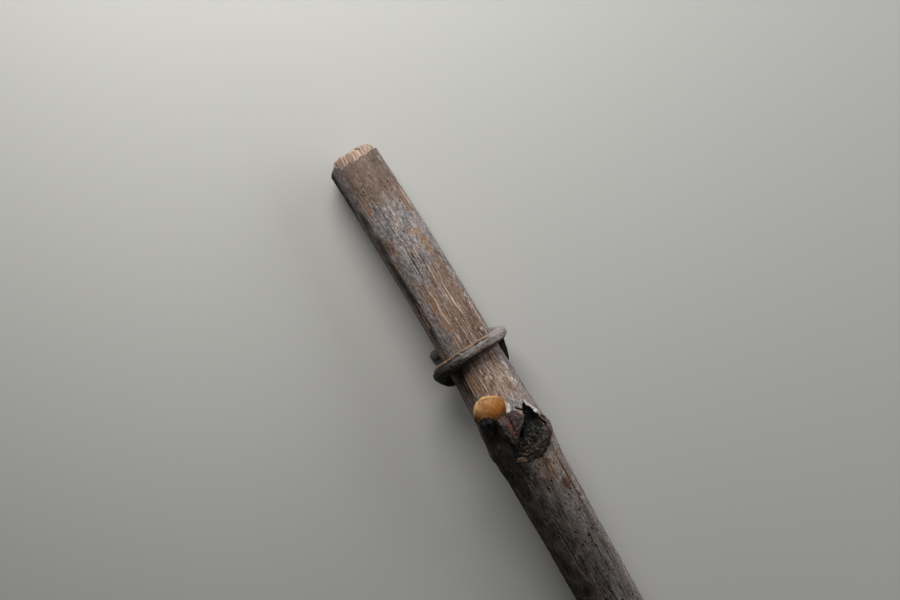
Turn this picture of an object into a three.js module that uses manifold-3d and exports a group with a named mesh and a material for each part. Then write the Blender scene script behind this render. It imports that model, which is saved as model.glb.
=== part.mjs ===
// A pruned piece of grapevine cane, about as long as a finger, lying on the ground.
// It has one node, with a woolly winter bud between its scales, the torn base of a side shoot
// beside it and the leaf scar under both. A dry tendril is wound round it, a little above the node,
// and props it up. Both ends are clean cuts that show the pith. Millimetres and degrees.
//
// The cane is shaped along its own axis: a station is the distance from the tip cut, a turn is the
// angle round the axis, 0 on the side that faces up, 90 on +Y and 180 on the side that faces down.
import * as THREE from "three";
import { mergeVertices } from "three/addons/utils/BufferGeometryUtils.js";
import Module from "manifold-3d";

const wasm = await Module();
wasm.setup();

// The cane: half its width at a few stations, thickest at the node, and how far it is pressed flat.
const CANE_LENGTH = 112;
const CANE_HALF_WIDTH = [
  [0, 4.65], [20, 4.78], [38, 4.86], [48, 5.14], [53.5, 5.55],
  [56.2, 5.86], [58.6, 5.6], [62, 5.32], [78, 5.12], [95, 5.06], [112, 5.18],
];
const CANE_FLATNESS = 0.95;
const CANE_SIDES = 32;
const CANE_STEPS = 50;
// The upper internode bows to one side, up to where it meets the node.
const BOW_OFFSET = 0.62;
const BOW_END = 48;
const BOW_DEPTH = 1.55;
// The cane turns a little at the node, as canes do, so the lower internode runs downwards from there.
const BEND_ANGLE = 10;
const BEND_STATION = 55.5;
const BEND_SOFTNESS = 1.6;
// The swelling that carries the bud, on the upper side of the node.
const CUSHION_STATION = 52.5;
const CUSHION_TURN = 8;
const CUSHION_HEIGHT = 0.75;
const CUSHION_REACH = 5;
const CUSHION_SPREAD = 48;

// The cuts, leaning by so much towards the upper side from square across the axis.
const TIP_CUT_LEAN = 16;
const BASE_CUT_LEAN = 7;
const BASE_CUT_TURN = BEND_ANGLE - BASE_CUT_LEAN;

// Pith fills a bore in each internode, up to the woody wall inside the node.
const PITH_RADIUS = 1.35;
const PITH_GAP = 0.2;
const PITH_RECESS = 0.35;
const PITH_SIDES = 12;
const NODE_WALL = [52.5, 60.5];

// Clear space between one tissue and the next.
const GAP = 0.3;

// Round things on the node: where each has its middle, how far that is outside the bark, and half
// its length along the cane, its width across it and its height.
// The bud shows its wool between two scales that hold its foot, the right one behind the left.
const BUD = { station: 49.5, turn: -24, outside: 0.25, half: [3.15, 3.05, 2.75] };
const SCALE_RIGHT = { station: 52.9, turn: -5, outside: 0.3, half: [3.3, 1.85, 2.1] };
const SCALE_LEFT = { station: 51.0, turn: -28, outside: 0.3, half: [2.5, 2.1, 2.3] };
// The base of the side shoot is a low hump, torn open, so it has a hollow.
const STUB = { station: 54.2, turn: 30, outside: 0, half: [3.9, 2.9, 1.7] };
const HOLLOW = { station: 53.2, turn: 36, outside: 2, half: [3.1, 1.35, 1.45] };
// The flap of bark that stands up on the outer side of the hollow.
const FLAP = { from: [50.3, 40], to: [56.4, 61], width: 0.9, thick: 0.26, lift: 0.7 };

// The leaf scar, a crescent of corky ridges below the bud, from one turn to another.
const SCAR = { fromTurn: -28, toTurn: 76, station: 58.8, sag: 2.9, halfWidth: 1.7, height: 0.62 };

// The tendril: where it lies at each turn, the space between it and the cane, and its half thickness.
const TENDRIL_SIDES = 12;
const TENDRIL_STEPS = 64;
const TENDRIL_STATION = [
  [-238, 39.3], [-213, 42.7], [-190, 42.9], [-135, 41.3], [-90, 39.6], [-45, 38.95],
  [0, 38.55], [45, 38.4], [90, 38.1], [135, 37.3], [180, 36.7], [222, 36.3],
];
const TENDRIL_SPACE = [
  [-238, 1.1], [-213, 2.1], [-200, 2.3], [-186, 1.6], [-165, 0.4], [-150, 0.32],
  [150, 0.32], [180, 0.6], [199, 2.0], [222, 3.7],
];
const TENDRIL_HALF_THICK = [
  [-238, 1.05], [-200, 1.3], [-150, 1.34], [-60, 1.3], [30, 1.2], [90, 1.06], [180, 0.92], [222, 1.0],
];
const TENDRIL_END_ROUND = 0.015;

// Loose strips of pale inner bark along the upper internode: station, turn, length.
const STRIPS = [
  { name: "bark_strip_inner", station: 29.5, turn: -8, length: 8.5 },
  { name: "bark_strip_outer", station: 28.2, turn: 27, length: 10.5 },
];
const STRIP_HALF_WIDTH = 0.42;
const STRIP_HALF_THICK = 0.14;

// How the cane lies: it leans on the base cut and on both ends of the tendril.
const LIE_PITCH = -4.99;
const LIE_ROLL = 2.95;
const LIE_SHIFT = [-55.867, -0.13, 5.023];

const radians = THREE.MathUtils.degToRad;

// Reads a table of [place, value] pairs at any place, smoothly between its entries.
function along(table, place) {
  if (place <= table[0][0]) return table[0][1];
  const next = table.findIndex((entry) => entry[0] >= place);
  if (next < 0) return table.at(-1)[1];
  const [before, after] = [table[next - 1], table[next]];
  const share = (place - before[0]) / (after[0] - before[0]);
  return THREE.MathUtils.lerp(before[1], after[1], share * share * (3 - 2 * share));
}

// The sideways place of the cane's axis at a station.
function axisY(station) {
  const above = Math.max(0, BOW_END - station) / BOW_END;
  return BOW_OFFSET - BOW_DEPTH * above * above;
}

// The height of the cane's axis at a station: level above the node, and falling below it.
function axisZ(station) {
  const past = BEND_SOFTNESS * Math.log1p(Math.exp((station - BEND_STATION) / BEND_SOFTNESS));
  return -Math.tan(radians(BEND_ANGLE)) * past;
}

// How far the node's cushion lifts the bark at a station and turn.
function cushion(station, turn) {
  const offStation = (station - CUSHION_STATION) / CUSHION_REACH;
  const offTurn = (((turn - CUSHION_TURN + 540) % 360) - 180) / CUSHION_SPREAD;
  return CUSHION_HEIGHT * Math.exp(-(offStation ** 2) - offTurn ** 2);
}

// A point on the cane's skin, or so far outside it.
function onCane(station, turn, outside = 0) {
  const half = along(CANE_HALF_WIDTH, station) + cushion(station, turn) + outside;
  const flatness = THREE.MathUtils.lerp(CANE_FLATNESS, 1, cushion(station, turn) / CUSHION_HEIGHT);
  return new THREE.Vector3(
    station,
    axisY(station) + half * Math.sin(radians(turn)),
    axisZ(station) + half * flatness * Math.cos(radians(turn)),
  );
}

// A closed skin made by moving a cylinder's vertices: place(turn, share of the length, reach) gives
// each its point, where reach is 1 on the skin and 0 in the middle of each end.
function skin(sides, steps, place) {
  const cylinder = new THREE.CylinderGeometry(1, 1, 1, sides, steps);
  cylinder.deleteAttribute("normal");
  cylinder.deleteAttribute("uv");
  const geometry = mergeVertices(cylinder, 1e-4);
  const vertices = geometry.getAttribute("position");
  for (let i = 0; i < vertices.count; i++) {
    const [x, y, z] = [vertices.getX(i), vertices.getY(i), vertices.getZ(i)];
    const point = place(THREE.MathUtils.radToDeg(Math.atan2(x, z)), 0.5 - y, Math.hypot(x, z));
    vertices.setXYZ(i, point.x, point.y, point.z);
  }
  return solidOf(geometry);
}

// A solid that manifold-3d can join and cut.
function solidOf(geometry) {
  const bare = geometry.clone();
  bare.deleteAttribute("normal");
  bare.deleteAttribute("uv");
  const merged = mergeVertices(bare, 1e-4);
  return new wasm.Manifold(
    new wasm.Mesh({
      numProp: 3,
      vertProperties: merged.getAttribute("position").array,
      triVerts: new Uint32Array(merged.index.array),
    }),
  );
}

function geometryOf(solid) {
  const mesh = solid.getMesh();
  const geometry = new THREE.BufferGeometry();
  geometry.setAttribute("position", new THREE.BufferAttribute(mesh.vertProperties, 3));
  geometry.setIndex(new THREE.BufferAttribute(mesh.triVerts, 1));
  geometry.computeVertexNormals();
  return geometry;
}

// A box, as a cutter, whose low side in X crosses the axis at a station, turned by so much about Y.
function beyond(station, lean, size = 200) {
  const box = new THREE.BoxGeometry(size, size, size);
  box.translate(size / 2, 0, 0);
  box.rotateY(radians(lean));
  box.translate(station, 0, axisZ(station));
  return solidOf(box);
}

// A round thing that stands on the cane, made bigger all round by so much.
function mound({ station, turn, outside, half }, bigger = 0, sides = 20, steps = 12) {
  const ball = new THREE.SphereGeometry(1, sides, steps);
  ball.rotateZ(Math.PI / 2);
  ball.scale(...half.map((size) => size + bigger));
  ball.rotateX(-radians(turn));
  ball.translate(...onCane(station, turn, outside).toArray());
  return solidOf(ball);
}

// A bar of oval section swept along a path. pathAt(share) gives a point and the way out from the
// cane, sizeAt(share) half the section's height along that way and half its width across it.
function swept(pathAt, sizeAt, sides, steps) {
  const STEP = 1e-3;
  return skin(sides, steps, (turn, share, reach) => {
    const { point, out } = pathAt(share);
    const ahead = pathAt(Math.min(1, share + STEP)).point;
    const behind = pathAt(Math.max(0, share - STEP)).point;
    const tangent = ahead.sub(behind).normalize();
    const across = out.clone().cross(tangent).normalize();
    const { height, width } = sizeAt(share);
    return point
      .clone()
      .addScaledVector(out, reach * height * Math.cos(radians(turn)))
      .addScaledVector(across, reach * width * Math.sin(radians(turn)));
  });
}

// The way out from the cane's axis at a station and turn.
function outAt(station, turn) {
  return onCane(station, turn, 1).sub(onCane(station, turn, 0)).normalize();
}

// The whole cane as a closed limb, made bigger all round by so much.
function limb(bigger = 0) {
  const overrun = 6;
  return skin(CANE_SIDES, CANE_STEPS, (turn, share, reach) => {
    const station = THREE.MathUtils.lerp(-overrun, CANE_LENGTH + overrun, share);
    const rim = onCane(station, turn, bigger);
    return rim.lerp(new THREE.Vector3(station, axisY(station), axisZ(station)), 1 - reach);
  });
}

const caneKeepOut = limb(GAP);

// A rod along the axis of one internode, from one station to another.
function axialRod(from, to, radius) {
  return skin(PITH_SIDES, 4, (turn, share, reach) => {
    const station = THREE.MathUtils.lerp(from, to, share);
    return new THREE.Vector3(
      station,
      axisY(station) + reach * radius * Math.sin(radians(turn)),
      axisZ(station) + reach * radius * Math.cos(radians(turn)),
    );
  });
}

function cane() {
  const overrun = 6;
  return limb()
    .intersect(beyond(0, TIP_CUT_LEAN))
    .subtract(beyond(CANE_LENGTH, BASE_CUT_TURN))
    .subtract(axialRod(-overrun, NODE_WALL[0] + PITH_GAP, PITH_RADIUS + PITH_GAP))
    .subtract(axialRod(NODE_WALL[1] - PITH_GAP, CANE_LENGTH + overrun, PITH_RADIUS + PITH_GAP));
}

// Pith shrinks as it dries, so each rod ends a little inside its cut.
function pithUpper() {
  return axialRod(-PITH_RADIUS, NODE_WALL[0], PITH_RADIUS).intersect(beyond(PITH_RECESS, TIP_CUT_LEAN));
}

function pithLower() {
  return axialRod(NODE_WALL[1], CANE_LENGTH + PITH_RADIUS, PITH_RADIUS)
    .subtract(beyond(CANE_LENGTH - PITH_RECESS, BASE_CUT_TURN));
}

function bud() {
  return mound(BUD, 0, 22, 14).subtract(caneKeepOut);
}

function budScaleRight() {
  return mound(SCALE_RIGHT).subtract(mound(BUD, GAP)).subtract(caneKeepOut);
}

function budScaleLeft() {
  return mound(SCALE_LEFT)
    .subtract(mound(BUD, GAP))
    .subtract(mound(SCALE_RIGHT, GAP))
    .subtract(caneKeepOut);
}

function flap(bigger = 0) {
  return swept(
    (share) => {
      const station = THREE.MathUtils.lerp(FLAP.from[0], FLAP.to[0], share);
      const turn = THREE.MathUtils.lerp(FLAP.from[1], FLAP.to[1], share);
      return { point: onCane(station, turn, FLAP.lift), out: outAt(station, turn) };
    },
    (share) => ({
      height: FLAP.width * Math.sin(Math.PI * (0.08 + 0.72 * share)) + bigger,
      width: FLAP.thick + bigger,
    }),
    10,
    8,
  );
}

function leafScar(bigger = 0) {
  return swept(
    (share) => {
      const turn = THREE.MathUtils.lerp(SCAR.fromTurn, SCAR.toTurn, share);
      const station = SCAR.station - SCAR.sag * (2 * share - 1) ** 2;
      return { point: onCane(station, turn, GAP), out: outAt(station, turn) };
    },
    (share) => {
      const fullness = Math.sqrt(Math.max(0.04, 1 - (2 * share - 1) ** 2));
      return { height: SCAR.height * fullness + bigger, width: SCAR.halfWidth * fullness + bigger };
    },
    12,
    22,
  );
}

function sideShootBase() {
  return mound(STUB)
    .subtract(mound(HOLLOW))
    .subtract(caneKeepOut)
    .subtract(mound(SCALE_RIGHT, GAP))
    .subtract(flap(GAP))
    .subtract(leafScar(GAP));
}

// One piece of a body that a cut has left in several, the one with the most volume.
function largest(solid) {
  return solid.decompose().sort((a, b) => b.volume() - a.volume())[0];
}

function tendrilPath(share) {
  const turn = THREE.MathUtils.lerp(TENDRIL_STATION[0][0], TENDRIL_STATION.at(-1)[0], share);
  const station = along(TENDRIL_STATION, turn);
  const outside = along(TENDRIL_SPACE, turn) + along(TENDRIL_HALF_THICK, turn);
  return { point: onCane(station, turn, outside), out: outAt(station, turn), turn };
}

function tendril() {
  return swept(
    tendrilPath,
    (share) => {
      const end = Math.min(1, share / TENDRIL_END_ROUND, (1 - share) / TENDRIL_END_ROUND);
      const thick = along(TENDRIL_HALF_THICK, tendrilPath(share).turn) * Math.sqrt(0.3 + 0.7 * end);
      return { height: thick, width: thick };
    },
    TENDRIL_SIDES,
    TENDRIL_STEPS,
  );
}

function barkStrip({ station, turn, length }) {
  return swept(
    (share) => {
      const at = station + (share - 0.5) * length;
      return { point: onCane(at, turn, GAP + STRIP_HALF_THICK), out: outAt(at, turn) };
    },
    (share) => {
      const fullness = Math.sqrt(Math.max(0.1, Math.sin(Math.PI * share)));
      return { height: STRIP_HALF_THICK, width: STRIP_HALF_WIDTH * fullness };
    },
    8,
    10,
  );
}

const COLOURS = {
  bark: { color: 0x6b5a52, roughness: 0.85, metalness: 0 },
  pith: { color: 0x8a5a38, roughness: 0.95, metalness: 0 },
  wool: { color: 0xb4733a, roughness: 1, metalness: 0 },
  scale: { color: 0x54302a, roughness: 0.6, metalness: 0 },
  cork: { color: 0x4a3627, roughness: 0.95, metalness: 0 },
  tendril: { color: 0x5b5048, roughness: 0.8, metalness: 0 },
  strip: { color: 0xb08d6b, roughness: 0.85, metalness: 0 },
};

function named(name, solid, colour) {
  const material = new THREE.MeshStandardMaterial(COLOURS[colour]);
  const mesh = new THREE.Mesh(geometryOf(solid), material);
  mesh.name = name;
  return mesh;
}

const lying = new THREE.Group();
lying.rotation.set(radians(LIE_ROLL), radians(LIE_PITCH), 0);
lying.position.set(...LIE_SHIFT);
lying.add(
  named("cane", cane(), "bark"),
  named("pith_upper", pithUpper(), "pith"),
  named("pith_lower", pithLower(), "pith"),
  named("bud", bud(), "wool"),
  named("bud_scale_left", largest(budScaleLeft()), "scale"),
  named("bud_scale_right", largest(budScaleRight()), "scale"),
  named("side_shoot_base", largest(sideShootBase()), "cork"),
  named("bark_flap", largest(flap().subtract(caneKeepOut)), "bark"),
  named("leaf_scar", largest(leafScar().subtract(caneKeepOut).subtract(flap(GAP))), "cork"),
  named("tendril", tendril(), "tendril"),
);
for (const strip of STRIPS) {
  lying.add(named(strip.name, barkStrip(strip), "strip"));
}

export default new THREE.Group().add(lying);
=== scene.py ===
# A pruned length of grapevine cane lying on a pale floor, with a woolly winter bud, a torn side
# shoot base, a leaf scar and a dry tendril wound round it.
#
# The pieces are shaped in the cane's own frame, in millimetres: X is the station, counted from the
# tip cut, and a turn is the angle round the axis in degrees, 0 on the upper side and 90 on +Y.
# Each finished mesh is then laid down in the part's frame, in metres.
import math

import bpy
import numpy as np
from mathutils import Matrix, Vector


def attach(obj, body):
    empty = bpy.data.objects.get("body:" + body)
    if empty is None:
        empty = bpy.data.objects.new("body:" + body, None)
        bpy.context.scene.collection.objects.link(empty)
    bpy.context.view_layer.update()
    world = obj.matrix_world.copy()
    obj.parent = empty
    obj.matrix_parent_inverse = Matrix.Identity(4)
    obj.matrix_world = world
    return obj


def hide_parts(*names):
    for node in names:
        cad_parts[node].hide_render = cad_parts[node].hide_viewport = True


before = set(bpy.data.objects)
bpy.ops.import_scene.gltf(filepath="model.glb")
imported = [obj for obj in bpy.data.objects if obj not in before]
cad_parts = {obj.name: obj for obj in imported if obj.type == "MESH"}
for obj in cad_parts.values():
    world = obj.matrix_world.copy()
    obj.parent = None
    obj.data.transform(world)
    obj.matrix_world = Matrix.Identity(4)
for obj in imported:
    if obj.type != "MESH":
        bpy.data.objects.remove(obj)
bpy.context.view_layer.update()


# The camera
# It looks straight down on the side that carries the bud, with the tip at the upper left. The cane
# lies as it does in the part's source, on its base cut and on both ends of the tendril.
LIE_PITCH = -4.99
LIE_ROLL = 2.95
LIE_SHIFT = (-55.867, -0.13, 5.023)
MM = 0.001
LAY = (
    Matrix.Scale(MM, 4)
    @ Matrix.Translation(LIE_SHIFT)
    @ Matrix.Rotation(math.radians(LIE_ROLL), 4, "X")
    @ Matrix.Rotation(math.radians(LIE_PITCH), 4, "Y")
)

# How wide the picture is at the cane, in mm, how far away the camera stands, the place that it aims
# at, and the slant at which the cane crosses the picture.
VIEW_ACROSS = 154.8
VIEW_DISTANCE = 420.0
VIEW_AIM = (29.13, 1.95, 0.0)
CANE_SLANT = math.radians(60.61)
SENSOR = 36.0

camera = bpy.data.objects.new("camera", bpy.data.cameras.new("camera"))
bpy.context.scene.collection.objects.link(camera)
bpy.context.scene.camera = camera
camera.data.sensor_width = SENSOR
camera.data.lens = SENSOR * VIEW_DISTANCE / VIEW_ACROSS
camera.data.clip_start = 0.01
camera.data.clip_end = 10.0
image_right = Vector((math.cos(CANE_SLANT), math.sin(CANE_SLANT), 0))
image_up = Vector((-math.sin(CANE_SLANT), math.cos(CANE_SLANT), 0))
towards_eye = Vector((0, 0, 1))


def aim_from(place, right, up, back):
    """The world matrix of a camera or lamp at a place in the cane's frame, with these three axes."""
    turned = Matrix((right, up, back)).transposed().to_4x4()
    laid = LAY.to_3x3().normalized().to_4x4() @ turned
    laid.translation = LAY @ Vector(place)
    return laid


bpy.context.scene.view_settings.view_transform = "Standard"
camera.matrix_world = aim_from(
    Vector(VIEW_AIM) + VIEW_DISTANCE * towards_eye, image_right, image_up, towards_eye
)


# The floor and the light
# A plain pale floor under the cane. One lamp stands over the tip, a long one to the right lights the
# whole length from the side, a weak low one lights the base cut, and a weak sky fills the shadows.
FLOOR_SIZE = 3.0
FLOOR_COLOUR = (0.50, 0.50, 0.48)

floor_mesh = bpy.data.meshes.new("floor")
half = FLOOR_SIZE / 2
floor_mesh.from_pydata(
    [(-half, -half, 0), (half, -half, 0), (half, half, 0), (-half, half, 0)], [], [(0, 1, 2, 3)]
)
floor = bpy.data.objects.new("floor", floor_mesh)
bpy.context.scene.collection.objects.link(floor)
floor_paint = bpy.data.materials.new("pale_floor")
floor_paint.use_nodes = True
floor_shader = floor_paint.node_tree.nodes["Principled BSDF"]
floor_shader.inputs["Base Color"].default_value = (*FLOOR_COLOUR, 1)
floor_shader.inputs["Roughness"].default_value = 0.9
floor_shader.inputs["Specular IOR Level"].default_value = 0.2
floor_mesh.materials.append(floor_paint)


def lamp(name, place, target, size, power, colour):
    """A square soft lamp at a place in the cane's frame, facing a target there."""
    light = bpy.data.objects.new(name, bpy.data.lights.new(name, "AREA"))
    bpy.context.scene.collection.objects.link(light)
    light.data.shape = "RECTANGLE"
    light.data.size, light.data.size_y = size[0] * MM, size[1] * MM
    light.data.energy = power
    light.data.color = colour
    light.visible_camera = False
    back = (Vector(place) - Vector(target)).normalized()
    right = Vector((1, 0, 0)).cross(back).normalized().cross(back)
    light.matrix_world = aim_from(place, right, back.cross(right), back)


lamp("lamp_over_tip", (-100, 30, 120), (25, 0, 0), (110, 110), 0.36, (1.0, 0.985, 0.96))
lamp("lamp_right", (40, 260, 110), (55, 0, 0), (260, 120), 0.29, (0.96, 0.975, 1.0))
lamp("lamp_past_base", (250, 70, 30), (110, 0, 0), (100, 50), 0.05, (1.0, 0.99, 0.97))
world = bpy.data.worlds.new("studio")
bpy.context.scene.world = world
world.use_nodes = True
sky = world.node_tree.nodes["Background"]
sky.inputs["Color"].default_value = (0.97, 0.98, 1.0, 1)
sky.inputs["Strength"].default_value = 0.045


# The bark
# Thin fibrous bark that is grown on to the wood: brown strings run along the cane, and a grey skin
# covers them that has flaked off in patches. It is built in three lengths that meet edge to edge,
# the first joint under the tendril and the second below the node.
CANE_HALF_WIDTH = [
    (0, 4.65), (20, 4.78), (38, 4.86), (48, 5.14), (53.5, 5.55),
    (56.2, 5.86), (58.6, 5.6), (62, 5.32), (78, 5.12), (95, 5.06), (112, 5.18),
]
CANE_FLATNESS = 0.95
CANE_LENGTH = 112.0
BOW_OFFSET, BOW_END, BOW_DEPTH = 0.62, 48.0, 1.55
BEND_ANGLE, BEND_STATION, BEND_SOFTNESS = 10.0, 55.5, 1.6
CUSHION_STATION, CUSHION_TURN, CUSHION_HEIGHT = 52.5, 8.0, 0.75
CUSHION_REACH, CUSHION_SPREAD = 5.0, 48.0
TIP_CUT_LEAN = 16.0
BASE_CUT_LEAN = 3.0

BARK_LENGTHS = [("bark_upper", 0.0, 38.5), ("bark_node", 38.5, 64.0), ("bark_lower", 64.0, CANE_LENGTH)]
BARK_ROWS, BARK_COLUMNS = 300, 310
# The end discs lie inside the bark: how deep, and how far behind a cut or behind a joint.
BARK_DEPTH, CUT_RECESS, JOINT_RECESS = 0.55, 1.5, 0.01
# The torn edge at the tip: how far its near side stands out, its waves as radians for each degree,
# phase and height, its lips as turn, half width in degrees and depth, and the lip underneath.
TIP_STANDS_OUT = 0.75
TIP_WAVES = [(0.21, 0, 0.16), (0.53, 1, 0.12), (1.37, 0, 0.07)]
TIP_LIPS = [(-95, 26, 1.0), (-48, 12, -0.55)]
TIP_UNDER_LIP = 0.9

# Where the grey skin is whole, and where it has come off: station, turn, half length in mm, half
# width in degrees, and how strongly. The last number of a bare patch is its tint, from -1, red
# brown, to 1, orange tan.
GREY_PATCHES = [
    (4.2, -52, 5.6, 17, 0.9), (12.2, 2, 3.3, 38, 0.75), (19.6, 26, 3.4, 8, 0.9), (17.5, -4, 4.5, 24, 0.4),
    (17.5, 70, 6.5, 16, 0.9), (22.5, -20, 3.2, 14, 0.5), (31, -38, 7.0, 13, 0.5), (34, -20, 0.9, 6, 0.9),
    (27.5, 6, 1.9, 4, 0.6), (8.1, 44, 0.5, 5, 0.9), (26, 66, 6, 8, 0.4), (42, 56, 1.5, 8, 0.6),
    (49.8, 30, 2.0, 15, 0.7), (45.6, -30, 0.7, 6, 0.9), (46, 66, 5, 12, 0.5), (35.4, 42, 0.8, 5, 0.6),
    (86, 70, 18, 16, 0.8), (70, 0, 12, 60, 0.25), (72, 42, 3, 6, 0.4), (83, 32, 8, 22, 0.5),
]
BARE_PATCHES = [
    (4.4, 12, 4.7, 36, 0.75, -0.1), (9.8, 57, 3.6, 9, 0.8, 0.3), (8.7, -30, 1.7, 6, 0.8, 0.6),
    (16, -29, 1.7, 9, 0.75, -0.6), (15.7, 26, 0.9, 5, 0.9, 1.0), (18.4, 40, 2.4, 7, 0.6, 0.5),
    (29.8, 31, 9.3, 27, 0.8, 0.1), (29.8, -15, 5.0, 9, 0.8, 0.5), (24.2, -26, 0.7, 4, 0.9, 0.9),
    (28.5, -55, 2.6, 6, 0.8, -0.5), (36.3, 20, 3.0, 32, 0.6, 0.0), (36.6, 46, 1.0, 8, 0.5, -0.6),
    (43.6, 8, 4.6, 46, 0.8, 0.2), (43.4, -29, 2.6, 6, 0.9, 0.8), (47.3, 42, 1.6, 8, 0.7, -0.5),
    (62.4, 20, 2.2, 17, 0.9, 0.5), (66.4, 38, 1.15, 8, 1.3, -1.3), (67, 52, 8, 3, 0.7, -0.3),
    (77.2, 47, 1.4, 4, 0.9, 0.4), (84, 45, 5, 3, 0.6, -0.2), (78.8, 15, 0.9, 4, 0.7, 0.9),
    (73, 4, 6, 4, 0.45, 0.3), (81, -15, 1.6, 5, 0.6, -0.7), (62, -22, 2.6, 5, 0.9, -0.2),
    (104, -20, 3.5, 14, 0.5, 0.1), (98, 40, 2.5, 8, 0.6, 0.5), (20, 150, 8, 30, 0.5, 0.2),
    (75, 190, 10, 35, 0.4, 0.0), (33.6, 47, 3.4, 9, 0.7, -0.6), (28.6, -48, 2.6, 3, 0.8, -0.9),
    (68, 53, 6, 1.6, 0.9, -0.9), (4.0, -33, 3.0, 4, 0.5, -0.5), (8.3, -27, 1.0, 4, 0.8, 0.9),
]
# Where a shred of skin is bleached nearly white, and where dirt and painted shade darken the bark, in the
# same way. A strength below 0 marks a spot that is cleaner than the bark round it.
# The pale patches round station 44, right of the tendril, are painted light as well as bleached skin: they
# lift the bark where the tendril shades it from the lamp over the tip.
PALE_PATCHES = [
    (8.1, 44, 0.5, 5, 0.5), (49.9, 8, 0.8, 6, 0.9), (55.1, -41, 0.4, 4, 0.6), (56.0, -46, 0.6, 3, 0.3),
    (53.6, -42, 0.6, 3, 0.3), (34, -20, 0.7, 4, 0.3), (45.6, -30, 0.5, 4, 0.3), (19.6, 26, 2.4, 4, 0.25),
    (44.2, 12, 4.4, 34, 0.36), (12, 8, 3, 24, 0.16), (78, 45, 2, 6, 0.2), (44.8, 52, 3.4, 12, 0.4),
    (33, 60, 4, 6, 0.4), (36, 25, 2, 30, 0.2), (86, 62, 10, 9, 0.22), (72, 58, 6, 8, 0.25),
]
# The narrow dark patches along the tendril's lower edge, near station 40, are painted contact shadow. The
# patches round the foot of the bud and its scales, and on the left side, are painted shade together with
# dirt.
DIRT_AND_SHADE_PATCHES = [
    (55.5, -46, 5.0, 32, 1.3), (56.6, -8, 1.5, 18, 0.9), (60, -42, 4, 12, 0.7), (22, -56, 12, 10, 0.45),
    (54.2, -30, 3.4, 13, 1.2), (4.2, -6, 5.2, 56, 0.27), (3.6, 50, 5.0, 22, 0.3), (23, 30, 3.5, 28, 0.2),
    (82, 42, 11, 20, 0.36), (78, 12, 12, 14, 0.22), (40.4, -44, 0.28, 18, 0.5), (40.1, -18, 0.28, 18, 0.45),
    (39.9, 12, 0.28, 18, 0.45), (39.7, 42, 0.28, 18, 0.5), (39.5, 68, 0.28, 14, 0.6), (57.1, 47, 0.8, 7, 1.2),
    (9, -72, 9, 10, 0.15), (29, -54, 9, 10, 0.4), (43.5, -42, 3, 7, 0.5), (57.6, 26, 0.7, 30, 1.1),
    (55.0, -37, 0.9, 5.5, -1.8), (52.6, -37, 1.0, 5, -1.5),
    (10.3, -52, 1.6, 9, 0.5), (15.5, -45, 1.8, 7, 0.6), (3, -76, 6, 14, 0.6), (44, -50, 5, 14, 0.5),
]
# Cracks in the bark: station and turn of one end and the other, half the width in mm, and how many
# times as deep as a fine crack.
CRACKS = [
    (50.5, 20.9, 51.9, 33, 0.11, 4), (69, -15, 74, -17, 0.05, 1), (71, -22, 80, -21, 0.07, 1),
    (80, 8, 90, 11, 0.07, 1), (33, 12, 37, 13, 0.06, 1), (62, 52, 74, 49, 0.05, 1),
    (84, -8, 93, -9, 0.05, 1), (75, 30, 81, 27, 0.05, 1), (41, -40, 49, -42, 0.07, 1),
    (64, 8, 69, 9, 0.05, 1), (90, 32, 99, 30, 0.05, 1), (5, 28, 9, 27, 0.04, 1),
    (70, 45, 83, 46, 0.05, 1), (60, -24, 64, -18, 0.08, 1), (61, 27, 65, 28, 0.05, 1),
    (78, 29, 84, 30, 0.05, 1),
]
# The hollow of the torn side shoot, as it is seen from above: station and place on Y.
RECESS_OUTLINE = [
    (50.1, 4.4), (51.7, 3.5), (52.9, 2.9), (53.7, 2.0), (54.7, 0.9), (55.7, -0.1), (56.5, -0.7),
    (57.1, 0.4), (57.5, 2.0), (57.5, 3.6), (56.9, 4.9), (55.4, 5.45), (53.2, 5.35), (51.6, 4.95),
]
SOCKET_DEPTH = 1.5


def along(table, places):
    """Reads a table of (place, value) pairs at many places, smoothly between its entries."""
    spots = np.array([entry[0] for entry in table], float)
    values = np.array([entry[1] for entry in table], float)
    places = np.asarray(places, float)
    before = np.clip(np.searchsorted(spots, places, side="right") - 1, 0, len(spots) - 2)
    share = np.clip((places - spots[before]) / (spots[before + 1] - spots[before]), 0, 1)
    share = share * share * (3 - 2 * share)
    return values[before] + share * (values[before + 1] - values[before])


def wrapped(turn):
    """A turn as an angle from -180 to 180 degrees."""
    return (turn + 180) % 360 - 180


def bell(first, second=0.0):
    """1 where both are 0, and fading out smoothly away from there."""
    return np.exp(-(first**2) - second**2)


def cushion(station, turn):
    """How far the node's cushion lifts the bark."""
    off_station = (station - CUSHION_STATION) / CUSHION_REACH
    return CUSHION_HEIGHT * bell(off_station, wrapped(turn - CUSHION_TURN) / CUSHION_SPREAD)


def axis_y(station):
    """How far the cane's axis bows sideways."""
    return BOW_OFFSET - BOW_DEPTH * (np.maximum(0, BOW_END - station) / BOW_END) ** 2


def axis_z(station):
    """How far the cane's axis dips past the bend at the node."""
    past = BEND_SOFTNESS * np.log1p(np.exp((np.asarray(station, float) - BEND_STATION) / BEND_SOFTNESS))
    return -math.tan(math.radians(BEND_ANGLE)) * past


def on_cane(station, turn, outside=0.0):
    """Points on the cane's skin, or so far outside it, one row each."""
    station, turn, outside = np.broadcast_arrays(
        np.asarray(station, float), np.asarray(turn, float), np.asarray(outside, float)
    )
    lift = cushion(station, turn)
    half = along(CANE_HALF_WIDTH, station) + lift + outside
    flatness = CANE_FLATNESS + (1 - CANE_FLATNESS) * lift / CUSHION_HEIGHT
    angle = np.radians(turn)
    return np.stack(
        [
            station,
            axis_y(station) + half * np.sin(angle),
            axis_z(station) + half * flatness * np.cos(angle),
        ],
        axis=-1,
    )


def way_out(station, turn):
    """The way straight out of the cane's skin, about a millimetre long."""
    return on_cane(station, turn, 1.0) - on_cane(station, turn)


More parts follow.
